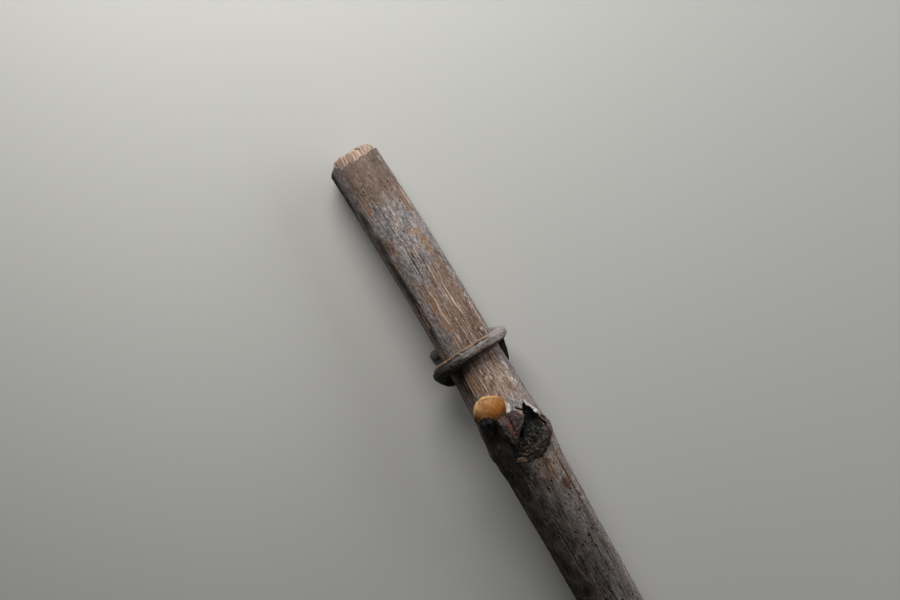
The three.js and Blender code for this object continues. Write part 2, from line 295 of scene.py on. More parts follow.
def unbowed(station, turn, height=0.0):
    """The same points on a cane that is straight and even, where the noise for the bark is read."""
    half = along(CANE_HALF_WIDTH, station)
    angle = np.radians(turn)
    return np.stack([station, half * np.sin(angle), (half + height) * np.cos(angle)], axis=-1)


def rise(values, low, high):
    """0 below low, 1 above high, and smooth between."""
    share = np.clip((values - low) / (high - low), 0, 1)
    return share * share * (3 - 2 * share)


def within(outline, station, across):
    """How far each point lies inside an outline that is seen from above, in mm. Outside is below 0."""
    line = np.array(outline, float)
    for _ in range(2):
        after = np.roll(line, -1, axis=0)
        line = np.stack([0.75 * line + 0.25 * after, 0.25 * line + 0.75 * after], axis=1).reshape(-1, 2)
    nearest = np.full(station.shape, 1e9)
    crossings = np.zeros(station.shape, int)
    for (x0, y0), (x1, y1) in zip(line, np.roll(line, -1, axis=0)):
        way = np.array([x1 - x0, y1 - y0])
        share = np.clip(((station - x0) * way[0] + (across - y0) * way[1]) / (way @ way), 0, 1)
        nearest = np.minimum(nearest, np.hypot(station - x0 - share * way[0], across - y0 - share * way[1]))
        if y0 != y1:
            reached = station < x0 + (across - y0) / way[1] * way[0]
            crossings += ((y0 > across) != (y1 > across)) & reached
    return np.where(crossings % 2 == 1, nearest, -nearest)


def closed_grid(points, wrap=True):
    """The faces of a grid of points, row by row, closed across its columns where wrap is set."""
    rows, columns = points.shape[:2]
    index = np.arange(rows * columns).reshape(rows, columns)
    beside = np.roll(index, -1, axis=1)
    last = columns if wrap else columns - 1
    return np.stack(
        [index[:-1, :last], beside[:-1, :last], beside[1:, :last], index[1:, :last]], axis=-1
    ).reshape(-1, 4)


def mesh_from(name, points, quads, fans=()):
    """A mesh from points and four-sided faces, with a fan of triangles round each extra middle."""
    loops = [quads.reshape(-1)]
    counts = [np.full(len(quads), 4)]
    for ring, middle in fans:
        triangles = np.stack([ring, np.roll(ring, -1), np.full(len(ring), middle)], axis=-1)
        loops.append(triangles.reshape(-1))
        counts.append(np.full(len(triangles), 3))
    loops, counts = np.concatenate(loops), np.concatenate(counts)
    mesh = bpy.data.meshes.new(name)
    mesh.vertices.add(len(points))
    mesh.vertices.foreach_set("co", np.asarray(points, np.float32).reshape(-1))
    mesh.loops.add(len(loops))
    mesh.loops.foreach_set("vertex_index", loops.astype(np.int32))
    mesh.polygons.add(len(counts))
    mesh.polygons.foreach_set("loop_start", np.concatenate([[0], np.cumsum(counts)[:-1]]).astype(np.int32))
    mesh.update(calc_edges=True)
    return mesh


def capped(rings, turned, poles=None):
    """The points, faces and fans of a row of rings, closed at each end by a fan round a pole.

    Where no poles are given, they are the rings' middles. Turned makes the faces look the other way.
    """
    columns = rings.shape[1]
    flat = rings.reshape(-1, 3)
    count = len(flat)
    if poles is None:
        poles = np.array([flat[:columns].mean(axis=0), flat[-columns:].mean(axis=0)])
    quads = closed_grid(rings)
    first, last = np.arange(columns), np.arange(count - columns, count)
    if turned:
        quads = quads[:, ::-1]
        last = last[::-1]
    else:
        first = first[::-1]
    return np.concatenate([flat, poles]), quads, [(first, count), (last, count + 1)]


def keep(mesh, name, values):
    """Stores a number or a vector for each point of a mesh."""
    values = np.asarray(values, np.float32)
    kind = "FLOAT_VECTOR" if values.ndim > 1 else "FLOAT"
    attribute = mesh.attributes.new(name, kind, "POINT")
    attribute.data.foreach_set("vector" if values.ndim > 1 else "value", values.reshape(-1))


class Field:
    """A number or vector inside a node tree, with arithmetic that adds nodes to it."""

    def __init__(self, tree, socket):
        self.tree, self.socket = tree, socket

    def math(self, operation, other=None):
        return node(self.tree, "ShaderNodeMath", (self, other), operation=operation)

    def __add__(self, other):
        return self.math("ADD", other)

    def __sub__(self, other):
        return self.math("SUBTRACT", other)

    def __rsub__(self, other):
        return (self * -1.0) + other

    def __mul__(self, other):
        return self.math("MULTIPLY", other)

    __radd__, __rmul__ = __add__, __mul__

    def smooth(self, low, high):
        """0 at low, 1 at high and smooth between them, whichever of the two is larger."""
        return node(
            self.tree, "ShaderNodeMapRange", (self, low, high, 0.0, 1.0), interpolation_type="SMOOTHSTEP"
        )

    def vector(self, operation, other=None):
        return node(self.tree, "ShaderNodeVectorMath", (self, other), operation=operation)

    def scaled(self, by):
        """A vector made longer or shorter by a number."""
        return node(self.tree, "ShaderNodeVectorMath", {"Vector": self, "Scale": by}, operation="SCALE")


def node(tree, kind, inputs=(), output=0, **settings):
    """Adds a node and returns one of its outputs. Inputs go by place, or by name in a dict."""
    made = tree.nodes.new(kind)
    for setting, value in settings.items():
        setattr(made, setting, value)
    sockets = [socket for socket in made.inputs if socket.enabled]
    named = inputs if isinstance(inputs, dict) else dict(enumerate(inputs))
    for key, value in named.items():
        if value is None:
            continue
        if isinstance(key, str):
            socket = next(each for each in sockets if each.name == key)
        else:
            socket = sockets[key]
        if isinstance(value, Field):
            tree.links.new(value.socket, socket)
        else:
            socket.default_value = value
    outputs = [socket for socket in made.outputs if socket.enabled]
    if isinstance(output, str):
        return Field(tree, next(each for each in outputs if each.name == output))
    return Field(tree, outputs[output])


def noise(place, stretch, detail=2.0, rough=0.5, **more):
    """Soft noise of a place, from 0 to 1, with so many cells for each millimetre on X, Y and Z."""
    scaled = place.vector("MULTIPLY", stretch)
    return node(
        place.tree,
        "ShaderNodeTexNoise",
        {"Vector": scaled, "Scale": 1.0, "Detail": detail, "Roughness": rough, **more},
    )


def bark_skin(place, cover, detail):
    """How much of the grey skin is left at a place, with a ragged edge that is fingered lengthwise."""
    ragged = noise(place, (0.40, 0.9, 0.9), detail=detail, rough=0.72)
    fingers = noise(place, (0.5, 3.0, 3.0), detail=detail * 0.6, rough=0.7)
    return cover + (ragged - 0.5) * 2.3 + (fingers - 0.5) * 1.9


def bark_strings(place):
    """The strings of bark that run along the cane, from 0 between them to 1 on top of them."""
    wide = noise(place, (0.05, 1.3, 1.3))
    narrow = noise(place, (0.09, 3.0, 3.0), rough=0.55)
    return wide * 0.5 + narrow * 0.5


def bark_cracks(place, placed):
    """1 in the long thin cracks that part the strings, and the depth of the placed cracks in them."""
    lines = noise(place, (0.05, 1.7, 1.7))
    where = noise(place, (0.10, 0.5, 0.5))
    off = (lines - 0.5).math("ABSOLUTE")
    fine = (1.0 - off.smooth(0.004, 0.02)) * where.smooth(0.48, 0.6)
    return fine.math("MAXIMUM", placed)


def stored(tree, name, kind="FLOAT"):
    """A geometry's own stored number or vector, in a geometry tree."""
    return node(tree, "GeometryNodeInputNamedAttribute", {"Name": name}, data_type=kind)


def tree_with_inputs(name, numbers):
    """An empty geometry tree with a geometry input and output, and a named input for each number."""
    tree = bpy.data.node_groups.new(name, "GeometryNodeTree")
    tree.interface.new_socket("Geometry", in_out="INPUT", socket_type="NodeSocketGeometry")
    tree.interface.new_socket("Geometry", in_out="OUTPUT", socket_type="NodeSocketGeometry")
    for label, value in numbers.items():
        kind = "NodeSocketInt" if isinstance(value, int) else "NodeSocketFloat"
        tree.interface.new_socket(label, in_out="INPUT", socket_type=kind).default_value = value
    start = tree.nodes.new("NodeGroupInput")
    given = {socket.name: Field(tree, socket) for socket in start.outputs if socket.name}
    return tree, given


def end_tree(geometry, material):
    """Ends a tree in Realize Instances and Set Material."""
    real = node(geometry.tree, "GeometryNodeRealizeInstances", {"Geometry": geometry})
    painted = node(geometry.tree, "GeometryNodeSetMaterial", {"Geometry": real, "Material": material})
    out = geometry.tree.nodes.new("NodeGroupOutput")
    geometry.tree.links.new(painted.socket, out.inputs[0])


def pushed_out(geometry, height):
    """Moves each point of a geometry along its stored way out, by a height."""
    offset = stored(geometry.tree, "out", "FLOAT_VECTOR").scaled(height)
    return node(geometry.tree, "GeometryNodeSetPosition", {"Geometry": geometry, "Offset": offset})


def relief_tree(name, numbers, height, material, place_name="cane_place"):
    """A tree that pushes each point out, by the height that a function makes from its place."""
    tree, given = tree_with_inputs(name, numbers)
    spot = stored(tree, place_name, "FLOAT_VECTOR")
    end_tree(pushed_out(given["Geometry"], height(spot, given)), material)
    return tree


def grow(name, base, tree, numbers=()):
    """Runs a geometry tree on a mesh or curve and returns the plain mesh that it makes."""
    holder = bpy.data.objects.new(name, base)
    bpy.context.scene.collection.objects.link(holder)
    modifier = holder.modifiers.new(name, "NODES")
    modifier.node_group = tree
    for item in tree.interface.items_tree:
        if item.in_out == "INPUT" and item.name in numbers:
            modifier[item.identifier] = numbers[item.name]
    bpy.context.view_layer.update()
    shaped = holder.evaluated_get(bpy.context.evaluated_depsgraph_get())
    mesh = bpy.data.meshes.new_from_object(shaped)
    holder.modifiers.clear()
    bpy.data.objects.remove(holder)
    return mesh


def place_piece(name, mesh, replaced, smooth=True):
    """Lays a mesh down in the part's frame as a piece that rides with the cane."""
    mesh.transform(LAY)
    mesh.polygons.foreach_set("use_smooth", [smooth] * len(mesh.polygons))
    mesh.name = name
    piece = bpy.data.objects.new(name, mesh)
    bpy.context.scene.collection.objects.link(piece)
    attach(piece, "root")
    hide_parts(replaced)


def new_material(name, roughness, specular):
    """A new material, with its tree and its shader node."""
    material = bpy.data.materials.new(name)
    material.use_nodes = True
    shader = material.node_tree.nodes["Principled BSDF"]
    shader.inputs["Roughness"].default_value = roughness
    shader.inputs["Specular IOR Level"].default_value = specular
    return material, material.node_tree, shader


def attribute(tree, name, vector=False):
    """A mesh's own stored number or vector, in a material."""
    return node(tree, "ShaderNodeAttribute", output="Vector" if vector else "Fac", attribute_name=name)


def blend(share, first, second):
    """Goes from the first colour to the second as the share goes from 0 to 1."""
    colours = [(*each, 1) if isinstance(each, tuple) else each for each in (first, second)]
    return node(
        share.tree,
        "ShaderNodeMix",
        {"Factor": share, "A": colours[0], "B": colours[1]},
        data_type="RGBA",
    )


def coats(colour, *layers):
    """Lays further colours over a colour one after the other, each with the share that it covers."""
    for share, coat in layers:
        colour = blend(share, colour, coat)
    return colour


def paint_with(shader, colour, height=None, depth=0.1, strength=0.8):
    """Gives a shader its colour and, from a height, a fine relief that is so many mm deep."""
    tree = colour.tree
    tree.links.new(colour.socket, shader.inputs["Base Color"])
    if height is not None:
        bump = node(
            tree, "ShaderNodeBump", {"Height": height, "Distance": depth * MM, "Strength": strength}
        )
        tree.links.new(bump.socket, shader.inputs["Normal"])


# Bark colours, from the deepest layer out.
GROOVE_BROWN = (0.050, 0.030, 0.021)
STRING_BROWN = (0.160, 0.103, 0.076)
STRING_TAN = (0.330, 0.232, 0.178)
STRING_PALE = (0.520, 0.405, 0.325)
STRING_ORANGE = (0.330, 0.180, 0.100)
STRING_RED = (0.108, 0.046, 0.029)
SKIN_BLUE = (0.150, 0.145, 0.153)
SKIN_MAUVE = (0.280, 0.236, 0.226)
SKIN_PALE = (0.480, 0.435, 0.415)
SKIN_WHITE = (0.640, 0.590, 0.545)
SPECK_BLACK = (0.008, 0.007, 0.007)
# The last two are the dark and the grey of dirt and of painted shade.
DIRT_AND_SHADE = (0.016, 0.014, 0.011)
DIRT_AND_SHADE_GREY = (0.052, 0.050, 0.046)

bark_paint, paint, bark_shader = new_material("weathered_bark", 0.82, specular=0.25)
place = attribute(paint, "cane_place", vector=True)
tint = attribute(paint, "tint")
grime = attribute(paint, "grime")
lined = attribute(paint, "lined")
pale = attribute(paint, "pale")
strings = (bark_strings(place) - 0.5) * lined + 0.5
skin = bark_skin(place, attribute(paint, "cover"), 7.0).smooth(0.34, 0.62)
patchy = noise(place, (0.35, 0.6, 0.6), detail=5.0, rough=0.62)
hairline = noise(place, (0.30, 6.5, 6.5), detail=3.0, rough=0.65)
mottle = noise(place, (1.3, 2.3, 2.3), detail=6.0, rough=0.75)

bare = coats(
    blend(strings.smooth(0.38, 0.62), STRING_BROWN, STRING_TAN),
    ((tint * 0.8 + (patchy - 0.5) * 2.0).smooth(0.05, 0.8), STRING_ORANGE),
    ((tint * -0.8 - (patchy - 0.5) * 1.6).smooth(0.05, 0.7), STRING_RED),
    ((strings * 0.6 + hairline * 0.4).smooth(0.56, 0.66) * 0.7, STRING_PALE),
    ((strings * 0.5 + hairline * 0.5).smooth(0.45, 0.36) * 0.75, GROOVE_BROWN),
    (mottle.smooth(0.48, 0.36) * 0.65, GROOVE_BROWN),
    (mottle.smooth(0.52, 0.64) * 0.55, SKIN_PALE),
)
covered = coats(
    blend(patchy.smooth(0.40, 0.60), SKIN_BLUE, SKIN_MAUVE),
    ((mottle * 0.6 + hairline * 0.4).smooth(0.49, 0.62), SKIN_PALE),
    (mottle.smooth(0.49, 0.37) * 0.8, STRING_BROWN),
    (mottle.smooth(0.40, 0.30) * 0.7, GROOVE_BROWN),
    (hairline.smooth(0.42, 0.30) * 0.5, STRING_BROWN),
)
whitish = pale.smooth(0.0, 0.15) * (pale + (mottle - 0.5) * 3.0 + (patchy - 0.5) * 1.5)
cracks = bark_cracks(place, attribute(paint, "crack")) * lined
dots = node(
    paint,
    "ShaderNodeTexVoronoi",
    {"Vector": place.vector("MULTIPLY", (1.6, 2.6, 2.6)), "Scale": 1.0},
)
dot_size = noise(place, (0.5, 0.8, 0.8))
specks = (dots - (dot_size - 0.42)).smooth(0.11, 0.03)
uneven = (mottle - 0.5) + (patchy - 0.5) * 1.8
# Dirt and painted shade darken the bark by the stored share, flecked with grey.
dirt_and_shade_share = (grime + uneven * grime.smooth(0.05, 0.4)).math("MINIMUM", 0.96)
flecked = (mottle * 0.5 + hairline * 0.3 + patchy * 0.2).smooth(0.50, 0.60)
bark_colour = coats(
    blend(skin, bare, covered),
    (whitish.smooth(0.30, 1.1), SKIN_WHITE),
    (cracks * 0.95, DIRT_AND_SHADE),
    (specks * (0.40 + 0.55 * grime), SPECK_BLACK),
    (dirt_and_shade_share, blend(flecked, DIRT_AND_SHADE, DIRT_AND_SHADE_GREY)),
)
paint_with(bark_shader, bark_colour, hairline * 0.5 + mottle * 0.6 - specks * 0.2, depth=0.12)


def placed_sum(station, turn, patches):
    """The sum of the patches' strengths at each point, each fading out round its middle."""
    total = np.zeros_like(station)
    for middle, centre, half_length, half_turn, strength, *_ in patches:
        off_turn = wrapped(turn - centre) / half_turn
        distance = np.sqrt(((station - middle) / half_length) ** 2 + off_turn**2)
        total += strength * rise(-distance, -1.7, -0.4)
    return total


def socket_depth(station, turn):
    """How far the bark sinks under the torn side shoot base, so that its hollow is open."""
    inside = within(RECESS_OUTLINE, station, on_cane(station, turn)[..., 1])
    upper_side = np.abs(turn - 30) < 60
    return SOCKET_DEPTH * rise(inside, -0.15, 0.3) * upper_side


def crack_depth(station, turn):
    """How deep the placed cracks are, counted in fine cracks, and 0 elsewhere."""
    deepest = np.zeros_like(station)
    round_mm = math.radians(1) * along(CANE_HALF_WIDTH, station)
    for from_station, from_turn, to_station, to_turn, half_width, depth in CRACKS:
        share = np.clip((station - from_station) / (to_station - from_station), 0, 1)
        beside = wrapped(turn - from_turn - share * (to_turn - from_turn)) * round_mm
        ahead = station - from_station - share * (to_station - from_station)
        jagged = 0.06 * np.sin(station * 1.9 + to_turn) + 0.03 * np.sin(station * 5.3)
        width = half_width * (0.4 + 0.6 * np.sin(np.pi * share)) + 0.03
        nearness = bell((beside - jagged) / width, ahead / 0.2)
        deepest = np.maximum(deepest, depth * rise(nearness, 0.1, 0.7))
    return deepest


def dirt_and_shade_depth(station, turn, sunk):
    """How dark the bark is painted with dirt and painted shade: mostly below the node and on the left side,
    and black in the socket as painted shade.
    """
    right = wrapped(turn)
    left = -right
    # Dirt and painted shade: darker below the node, most of all on the left side, and a little on the left of
    # the upper length.
    lower = rise(station, 57, 62) * (0.20 + 0.50 * rise(left, -35, 15) + 0.12 * rise(left, 10, 40))
    upper = 0.10 * rise(left, 20, 60) * rise(-station, -60, -50)
    not_behind = rise(right, -150, -110)
    dirt_and_shade = 0.03 + not_behind * (lower * rise(left, -75, -50) + upper)
    dirt_and_shade = dirt_and_shade + placed_sum(station, turn, DIRT_AND_SHADE_PATCHES)
    # Where the bark sinks into the socket under the hollow, it is painted black as shade.
    return np.clip(dirt_and_shade + 1.3 * rise(sunk, 0.02, 0.4), 0, 1)


def bark_marks(station, turn, sunk):
    """What guides the bark's paint and relief at each point."""
    grey = placed_sum(station, turn, GREY_PATCHES)
    bare = placed_sum(station, turn, BARE_PATCHES)
    tints = [(*patch[:4], patch[5]) for patch in BARE_PATCHES]
    return {
        "cover": 0.5 + 0.62 * (grey - bare),
        "tint": placed_sum(station, turn, tints),
        "grime": dirt_and_shade_depth(station, turn, sunk),
        "pale": placed_sum(station, turn, PALE_PATCHES),
        "crack": crack_depth(station, turn),
        "lined": 0.15 + 0.85 * rise(station, 6, 17),
    }


def tip_edge(turn):
    """The stations at which the bark ends at the tip: a leaning cut, torn on its near side."""
    side = wrapped(turn)
    near = np.cos(np.radians(side))
    torn = sum(height * np.sin(turn * waves + phase) for waves, phase, height in TIP_WAVES)
    lips = sum(depth * bell((side - middle) / half) for middle, half, depth in TIP_LIPS)
    edge = on_cane(0.0, turn)[:, 2] * math.tan(math.radians(TIP_CUT_LEAN))
    edge = edge + np.clip(near, 0, 1) * (torn - TIP_STANDS_OUT)
    return edge + lips + TIP_UNDER_LIP * rise(-near, -0.2, 0.9)


def base_edge(turn):
    """The stations at which the bark ends at the base: a plain cut that leans a little."""
    up = on_cane(CANE_LENGTH, turn)[:, 2] - axis_z(CANE_LENGTH)
    return CANE_LENGTH + up * math.tan(math.radians(BASE_CUT_LEAN))


def on_all_rings(values, still=False):
    """Values of the bark's skin, given on to the two rings inside each of its ends and the poles."""
    before, after = values[:1], values[-1:]
    if still:
        before, after = np.zeros_like(before), np.zeros_like(after)
    values = np.concatenate([before, before, values, after, after])
    values = values.reshape(-1, *values.shape[2:])
    return np.concatenate([values, values[:1], values[-1:]])


def bark_length(name, start, end):
    """One length of bark: a closed sleeve with its end discs, and the marks that guide its paint."""
    turn = np.linspace(0, 360, BARK_COLUMNS, endpoint=False)
    share = np.linspace(0, 1, BARK_ROWS)[:, None]
    first = tip_edge(turn) if start == 0 else np.full_like(turn, start)
    last = base_edge(turn) if end == CANE_LENGTH else np.full_like(turn, end)
    station = first + share * (last - first)
    turns = np.broadcast_to(turn, station.shape)
    sunk = socket_depth(station, turns)
    skin = on_cane(station, turns, -sunk)
    first_recess = CUT_RECESS if start == 0 else JOINT_RECESS
    last_recess = CUT_RECESS if end == CANE_LENGTH else JOINT_RECESS
    rings = [
        on_cane(station[0] + first_recess, turn, -BARK_DEPTH)[None],
        on_cane(station[0], turn, -BARK_DEPTH)[None],
        skin,
        on_cane(station[-1], turn, -BARK_DEPTH)[None],
        on_cane(station[-1] - last_recess, turn, -BARK_DEPTH)[None],
    ]
    mesh = mesh_from(name, *capped(np.concatenate(rings), turned=True))
    keep(mesh, "cane_place", on_all_rings(unbowed(station, turns)))
    keep(mesh, "out", on_all_rings(on_cane(station, turns, 1.0) - skin, still=True))
    for mark, values in bark_marks(station, turns, sunk).items():
        keep(mesh, mark, on_all_rings(values))
    return mesh


def crease(mesh):
    """Keeps the shading of the bark's skin apart from that of its ends."""
    ends = np.zeros(len(mesh.edges) * 2, np.int32)
    mesh.edges.foreach_get("vertices", ends)
    ends = ends.reshape(-1, 2)
    first_rim = np.arange(2 * BARK_COLUMNS, 3 * BARK_COLUMNS)
    last_rim = first_rim + (BARK_ROWS - 1) * BARK_COLUMNS
    rims = np.isin(ends, first_rim).all(axis=1) | np.isin(ends, last_rim).all(axis=1)
    mesh.attributes.new("sharp_edge", "BOOLEAN", "EDGE").data.foreach_set("value", rims)


def bark_relief(spot, given):
    """The height of the bark's strings, of its flaked skin and of its cracks."""
    flake = bark_skin(spot, stored(spot.tree, "cover"), 2.0)
    whole_skin = flake.smooth(0.42, 0.56)
    curled_edge = 1.0 - (flake - 0.52).math("ABSOLUTE").smooth(0.0, 0.08)
    lumps = noise(spot, (0.12, 0.35, 0.35)) - 0.5
    high_strings = (bark_strings(spot) - 0.5) * given["String Height"]
    return (
        high_strings * (1.7 - whole_skin) * stored(spot.tree, "lined")
        + (whole_skin + curled_edge * 0.6) * given["Skin Thickness"]
        + lumps * given["Lumps"]
        - bark_cracks(spot, stored(spot.tree, "crack")) * given["Crack Depth"]
        - 0.06
    )


bark_tree = relief_tree(
    "bark_relief",
    {"String Height": 0.20, "Skin Thickness": 0.07, "Crack Depth": 0.16, "Lumps": 0.16},
    bark_relief,
    bark_paint,
)
for name, start, end in BARK_LENGTHS:
    mesh = grow(name, bark_length(name, start, end), bark_tree)
    crease(mesh)
    place_piece(name, mesh, "cane")


# The cut faces
# Both ends are cut across with shears: a ring of pale wood, parted by rays that run out from the
# pith. The blade left the near side of the tip's ring standing as a ragged fringe.
WOOD_INNER, WOOD_OUTER = 1.5, 4.25
RAY_COUNT = 90
# How deep each ray is rooted in the wood, how high its upper edge stands from the pith outwards, and
# how much of its share of the ring it fills.
RAY_ROOT = 1.6
RAY_EDGE = (0.93, 0.97, 0.95, 1.0, 0.96, 0.90)
RAY_FILL = 0.86
WOOD_PALE = (0.56, 0.42, 0.33)
WOOD_TAN = (0.34, 0.235, 0.175)
WOOD_GAP = (0.10, 0.065, 0.048)

cut_paint, paint, cut_shader = new_material("cut_wood", 0.75, specular=0.25)
place = node(paint, "ShaderNodeTexCoord", output="Object").scaled(1 / MM)
ray_tone = attribute(paint, "ray_tone")
fibre = noise(place, (0.5, 3.6, 3.6), detail=4.0, rough=0.65)
wood_colour = coats(
    blend((ray_tone * 0.35 + fibre * 0.8).smooth(0.42, 0.72), WOOD_TAN, WOOD_PALE),
    (fibre.smooth(0.46, 0.34) * 0.8, WOOD_GAP),
)
paint_with(cut_shader, wood_colour, fibre, depth=0.06)


def wood_ray():
    """One splinter of the ring, from the pith out, a millimetre high, with a ragged upper edge."""
    half_wide = math.pi / RAY_COUNT * RAY_FILL
    sections = []
    for radius, high in zip(np.linspace(WOOD_INNER, WOOD_OUTER, len(RAY_EDGE)), RAY_EDGE):
        wide = radius * half_wide
        sections.append(
            [(0, -wide, radius), (-high, -wide, radius), (-high, wide, radius), (0, wide, radius)]
        )
    sections = np.array(sections)
    last = 4 * (len(RAY_EDGE) - 1)
    ends = [(0, 1, 2, 3), (last + 3, last + 2, last + 1, last)]
    quads = np.concatenate([closed_grid(sections)[:, ::-1], ends])
    return mesh_from("wood_ray", sections.reshape(-1, 3), quads)


def random_value(tree, low, high, seed, kind="FLOAT"):
    """A random number or vector for each point, between two bounds."""
    return node(
        tree, "FunctionNodeRandomValue", {"Min": low, "Max": high, "Seed": seed}, data_type=kind
    )


def combined(x, y=0.0, z=0.0):
    """A vector from its three parts."""
    return node(x.tree, "ShaderNodeCombineXYZ", {"X": x, "Y": y, "Z": z})


def store(geometry, name, value, kind="FLOAT"):
    """Stores a number or vector on the points of a geometry under a name."""
    return node(
        geometry.tree,
        "GeometryNodeStoreNamedAttribute",
        {"Geometry": geometry, "Name": name, "Value": value},
        data_type=kind,
        domain="POINT",
    )


def copies(points, shape, rotation, size):
    """A copy of a shape on each point."""
    return node(
        points.tree,
        "GeometryNodeInstanceOnPoints",
        {"Points": points, "Instance": shape, "Rotation": rotation, "Scale": size},
    )


ray_tree, ray_in = tree_with_inputs(
    "ring_of_rays",
    {
        "Rays": RAY_COUNT, "Lowest": 0.0, "Highest": 0.3, "Near Side": 0.0, "Left Side": 0.0,
        "Under Side": 0.0, "Lean": 0.0, "Seed": 3,
    },
)
ray_angle = node(ray_tree, "GeometryNodeInputIndex") * (2 * math.pi / RAY_COUNT)
near = ray_angle.math("COSINE")
ray_points = node(
    ray_tree, "GeometryNodePoints", {"Count": ray_in["Rays"], "Position": combined(near * ray_in["Lean"])}
)
ray_points = store(ray_points, "ray_tone", random_value(ray_tree, 0.0, 1.0, 8))
left_side = (ray_angle.math("SINE") * -1.0).smooth(0.55, 1.0)
under_side = (near * -1.0).smooth(-0.2, 0.9)
ray_height = (
    random_value(ray_tree, ray_in["Lowest"], ray_in["Highest"], ray_in["Seed"])
    + near.smooth(-0.1, 0.75) * ray_in["Near Side"]
    + RAY_ROOT
    - left_side * ray_in["Left Side"]
    - under_side * ray_in["Under Side"]
)
ray_turn = node(ray_tree, "FunctionNodeEulerToRotation", {"Euler": combined(ray_angle * -1.0)})
ray_size = combined(ray_height, random_value(ray_tree, 0.7, 1.15, 5), 1.0)
end_tree(copies(ray_points, ray_in["Geometry"], ray_turn, ray_size), cut_paint)


def cut_ring(name, station, lean, mirrored, numbers):
    """The ring of wood at one of the cuts. Each ray stands further out or in, as the cut leans."""
    step = (WOOD_INNER + WOOD_OUTER) / 2 * math.tan(math.radians(lean)) * (-1 if mirrored else 1)
    mesh = grow(name, wood_ray(), ray_tree, {"Lean": step, **numbers})
    half = float(along(CANE_HALF_WIDTH, station)) / CANE_HALF_WIDTH[0][1]
    root = Matrix.Translation((RAY_ROOT, 0, 0))
    if mirrored:
        root = Matrix.Scale(-1, 4, (1, 0, 0)) @ root
        mesh.flip_normals()
    to_cane = Matrix.Translation((station, float(axis_y(station)), float(axis_z(station))))
    squash = Matrix.Diagonal((1, half, half * CANE_FLATNESS, 1))
    mesh.transform(to_cane @ squash @ root)
    place_piece(name, mesh, "cane", smooth=False)


cut_ring(
    "tip_cut_wood", 0, TIP_CUT_LEAN, False,
    {"Lowest": 0.25, "Highest": 0.6, "Near Side": 1.6, "Left Side": 1.3, "Under Side": 1.2},
)
cut_ring("base_cut_wood", CANE_LENGTH, BASE_CUT_LEAN, True, {"Lowest": -0.05, "Highest": 0.05, "Seed": 11})


# The pith
# A rod of dry brown spongy tissue in the middle of the wood, shrunk back a little from each cut.
PITH_RADIUS, PITH_RECESS, PITH_DEPTH, PITH_DISH = 1.35, 0.35, 6.0, 0.25
PITH_COLUMNS, PITH_FACE_ROWS, PITH_SIDE_ROWS = 72, 22, 30
PITH_BROWN = (0.20, 0.10, 0.05)
PITH_TAN = (0.42, 0.25, 0.14)

pith_paint, paint, pith_shader = new_material("dry_pith", 0.95, specular=0.15)
place = attribute(paint, "cane_place", vector=True)
cells = node(paint, "ShaderNodeTexVoronoi", {"Vector": place, "Scale": 6.0})
sponge = noise(place, (2.5, 2.5, 2.5), detail=4.0)
paint_with(pith_shader, blend((cells + sponge * 0.4).smooth(0.3, 0.75), PITH_BROWN, PITH_TAN))


def sponge_height(spot, given):
    """The height of the pith's cells."""
    cells = node(spot.tree, "ShaderNodeTexVoronoi", {"Vector": spot, "Scale": 5.0})
    return (cells - 0.4) * given["Sponge"]


pith_tree = relief_tree("pith_sponge", {"Sponge": 0.16}, sponge_height, pith_paint)


def pith_rod(name, cut_station, lean, inward, replaced):
    """The pith at one cut, dished at its end."""
    turn = np.linspace(0, 360, PITH_COLUMNS, endpoint=False)
    share = np.concatenate([np.linspace(0.04, 1, PITH_FACE_ROWS), np.ones(PITH_SIDE_ROWS)])[:, None]
    side = np.linspace(0, PITH_DEPTH, PITH_SIDE_ROWS + 1)[1:]
    deep = np.concatenate([np.zeros(PITH_FACE_ROWS), side])[:, None]
    angle = np.radians(turn)
    radius = PITH_RADIUS * share
    z = radius * np.cos(angle)
    station = cut_station + z * math.tan(math.radians(lean)) + inward * (
        PITH_RECESS + deep + PITH_DISH * (1 - share**2)
    )
    rings = np.stack(
        [station, axis_y(station) + radius * np.sin(angle), axis_z(station) + z], axis=-1
    )
    away = np.zeros_like(rings)
    away[:PITH_FACE_ROWS, :, 0] = -inward
    away[PITH_FACE_ROWS:, :, 1] = np.sin(angle)
    away[PITH_FACE_ROWS:, :, 2] = np.cos(angle)
    points, quads, fans = capped(rings, turned=inward > 0)
    mesh = mesh_from(name, points, quads, fans)
    keep(mesh, "cane_place", points)
    keep(mesh, "out", np.concatenate([away.reshape(-1, 3), np.zeros((2, 3))]))
    place_piece(name, grow(name, mesh, pith_tree), replaced)


pith_rod("pith_at_tip", 0.0, TIP_CUT_LEAN, 1, "pith_upper")
pith_rod("pith_at_base", CANE_LENGTH, BASE_CUT_LEAN, -1, "pith_lower")


# The tendril
# A dry woody tendril, wound once and a bit round the cane. Its thin end is a rounded knob, its
# thick end has broken off hollow, and both stand free under the cane.
TENDRIL_STATION = [
    (-238, 39.3), (-213, 42.7), (-190, 42.9), (-135, 41.3), (-90, 39.6), (-45, 38.95), (0, 38.55),
    (45, 38.4), (90, 38.2), (135, 37.7), (180, 36.8), (222, 36.3),
]
TENDRIL_SPACE = [
    (-238, 1.1), (-213, 2.1), (-200, 2.3), (-186, 1.6), (-165, 0.4), (-150, 0.32), (150, 0.32),
    (180, 0.6), (199, 2.0), (222, 3.7),
]
TENDRIL_HALF_THICK = [
    (-238, 0.8), (-222, 0.8), (-206, 1.0), (-184, 1.26), (-150, 1.34), (-60, 1.3), (30, 1.2),
    (90, 1.06), (180, 0.92), (222, 1.0),
]
TENDRIL_STEPS = 480
TENDRIL_SIDES = 56
